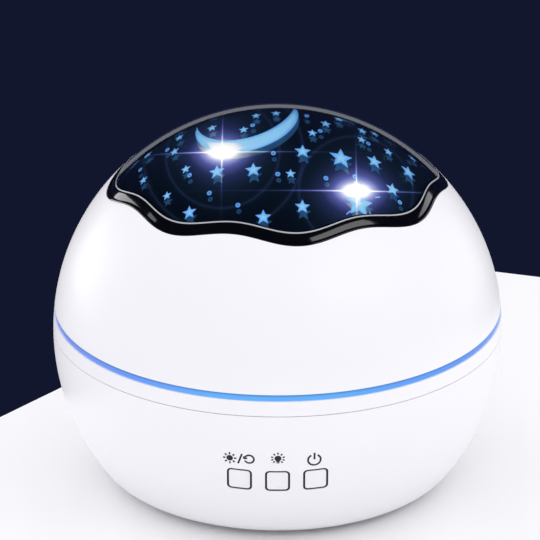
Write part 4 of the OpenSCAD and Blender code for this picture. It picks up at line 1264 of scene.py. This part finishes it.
class STARLIGHT_OT_stage(bpy.types.Operator):
    """Set the pale table, the plain backdrop, the soft lamps and the camera"""

    bl_idname = "starlight.stage"
    bl_label = "Stage"

    def execute(self, context):
        sizes = context.scene.star_light_sizes
        scene = context.scene
        centre = Vector((0, 0, sizes.centre_height))
        for name in ("Cube", "Light", "Camera"):
            if name in bpy.data.objects:
                bpy.data.objects.remove(bpy.data.objects[name])
        clear_selection()
        # A table whose blunt far corner lies behind the ball
        bpy.ops.mesh.primitive_cube_add(
            size=1, scale=(TABLE_SIDE, TABLE_SIDE, TABLE_THICKNESS), rotation=(0, 0, math.radians(45)))
        bpy.ops.object.transform_apply(location=True, rotation=True, scale=True)
        floor = begin("table")
        bpy.ops.mesh.select_all(action="SELECT")
        bpy.ops.transform.resize(value=(1.48, 1, 1))
        turn_picked(math.radians(16.75), "Z")
        bpy.ops.transform.translate(value=(0.183, -0.383, -TABLE_THICKNESS / 2))
        pick(floor, "faces", lambda f: f.normal.z > 0.9)
        bpy.ops.mesh.bevel(offset=0.0012, segments=4)
        bpy.ops.object.mode_set(mode="OBJECT")
        finish_piece(floor, self.table_material(), 30)
        world = scene.world or bpy.data.worlds.new("Backdrop")
        scene.world = world
        world.use_nodes = True
        backdrop = world.node_tree.nodes["Background"]
        backdrop.inputs["Color"].default_value = linear("#12172E")
        # The camera, gloss and glass see the plain dark backdrop; all else gets soft white light
        studio = add(world, "ShaderNodeBackground", {"Color": linear("#FCFCFE"), "Strength": 1.09})
        path = add(world, "ShaderNodeLightPath").outputs
        seen = path["Is Camera Ray"]
        for ray in ("Is Glossy Ray", "Is Transmission Ray"):
            seen = add(world, "ShaderNodeMath", {0: seen, 1: path[ray]}, operation="MAXIMUM").outputs["Value"]
        mixed = add(world, "ShaderNodeMixShader",
                    {0: seen, 1: studio.outputs["Background"], 2: backdrop.outputs["Background"]})
        out = world.node_tree.nodes["World Output"]
        world.node_tree.links.new(mixed.outputs["Shader"], out.inputs["Surface"])
        # Azimuth, elevation, width, height and watts of each soft lamp. Seen from the front, each
        # shows in the bezel's facets but not in the window.
        for name, azimuth, elevation, width, height, watts in (
                ("key_right", 50, 40, 0.34, 0.13, 0.21),
                ("left_strip", -121, 5, 0.34, 0.22, 0.4),
                ("left_spot", -103, 21, 0.09, 0.06, 0.016),
                ("right_strip", 120, 5, 0.34, 0.22, 0.2)):
            data = bpy.data.lights.new(name, "AREA")
            data.shape = "RECTANGLE"
            data.size, data.size_y, data.energy = width, height, watts
            lamp = bpy.data.objects.new(name, data)
            scene.collection.objects.link(lamp)
            lamp.location = round_the_ball(azimuth, elevation, LAMP_DISTANCE, centre)
            lamp.rotation_euler = (centre - lamp.location).to_track_quat("-Z", "Y").to_euler()
        data = bpy.data.cameras.new("camera")
        data.sensor_width = 36
        data.lens = CAMERA_LENS
        data.clip_start, data.clip_end = 0.01, 50
        camera = bpy.data.objects.new("camera", data)
        scene.collection.objects.link(camera)
        tilt = math.radians(CAMERA_TILT)
        up = Vector((0, math.sin(tilt), math.cos(tilt)))
        back = Vector((0, -math.cos(tilt), math.sin(tilt)))
        camera.location = centre + CAMERA_DISTANCE * back
        aim = centre + 0.01649 * up - Vector((0.00224, 0, 0))
        camera.rotation_mode = "QUATERNION"
        camera.rotation_quaternion = (aim - camera.location).to_track_quat("-Z", "Y")
        scene.camera = camera
        scene.view_settings.view_transform = "Standard"
        return {"FINISHED"}

    def table_material(self):
        """White laminate: plain and pale, satin, with a faint mottle"""
        return moulded("Laminate, white, satin", linear("#FCFCFD"), 0.4, 1.5 * MM, spread=0.02,
                       relief=0.004 * MM, shade=0.005, IOR=1.3)


class STARLIGHT_PT_panel(bpy.types.Panel):
    """Steps that model the star light"""

    bl_idname = "STARLIGHT_PT_panel"
    bl_label = "Star light"
    bl_space_type = "VIEW_3D"
    bl_region_type = "UI"
    bl_category = "Star light"

    def draw(self, context):
        for group in (context.scene.star_light_sizes, context.scene.star_light_colours):
            box = self.layout.box()
            for name in group.__annotations__:
                box.prop(group, name)
        for step in STEPS:
            self.layout.operator(step.bl_idname)


STEPS = (STARLIGHT_OT_materials, STARLIGHT_OT_cover, STARLIGHT_OT_bezel, STARLIGHT_OT_window,
         STARLIGHT_OT_light_ring, STARLIGHT_OT_star_dome, STARLIGHT_OT_stars, STARLIGHT_OT_moon,
         STARLIGHT_OT_buttons, STARLIGHT_OT_symbols, STARLIGHT_OT_stage)
CLASSES = (StarLightSizes, StarLightColours, *STEPS, STARLIGHT_PT_panel)


def register():
    for item in CLASSES:
        bpy.utils.register_class(item)
    bpy.types.Scene.star_light_sizes = bpy.props.PointerProperty(type=StarLightSizes)
    bpy.types.Scene.star_light_colours = bpy.props.PointerProperty(type=StarLightColours)


def unregister():
    del bpy.types.Scene.star_light_sizes
    del bpy.types.Scene.star_light_colours
    for item in reversed(CLASSES):
        bpy.utils.unregister_class(item)


def main():
    register()
    bpy.ops.starlight.materials()
    bpy.ops.starlight.cover()
    bpy.ops.starlight.bezel()
    bpy.ops.starlight.window()
    bpy.ops.starlight.light_ring()
    bpy.ops.starlight.star_dome()
    bpy.ops.starlight.stars()
    bpy.ops.starlight.moon()
    bpy.ops.starlight.buttons()
    bpy.ops.starlight.symbols()
    bpy.ops.starlight.stage()


if __name__ == "__main__":
    main()
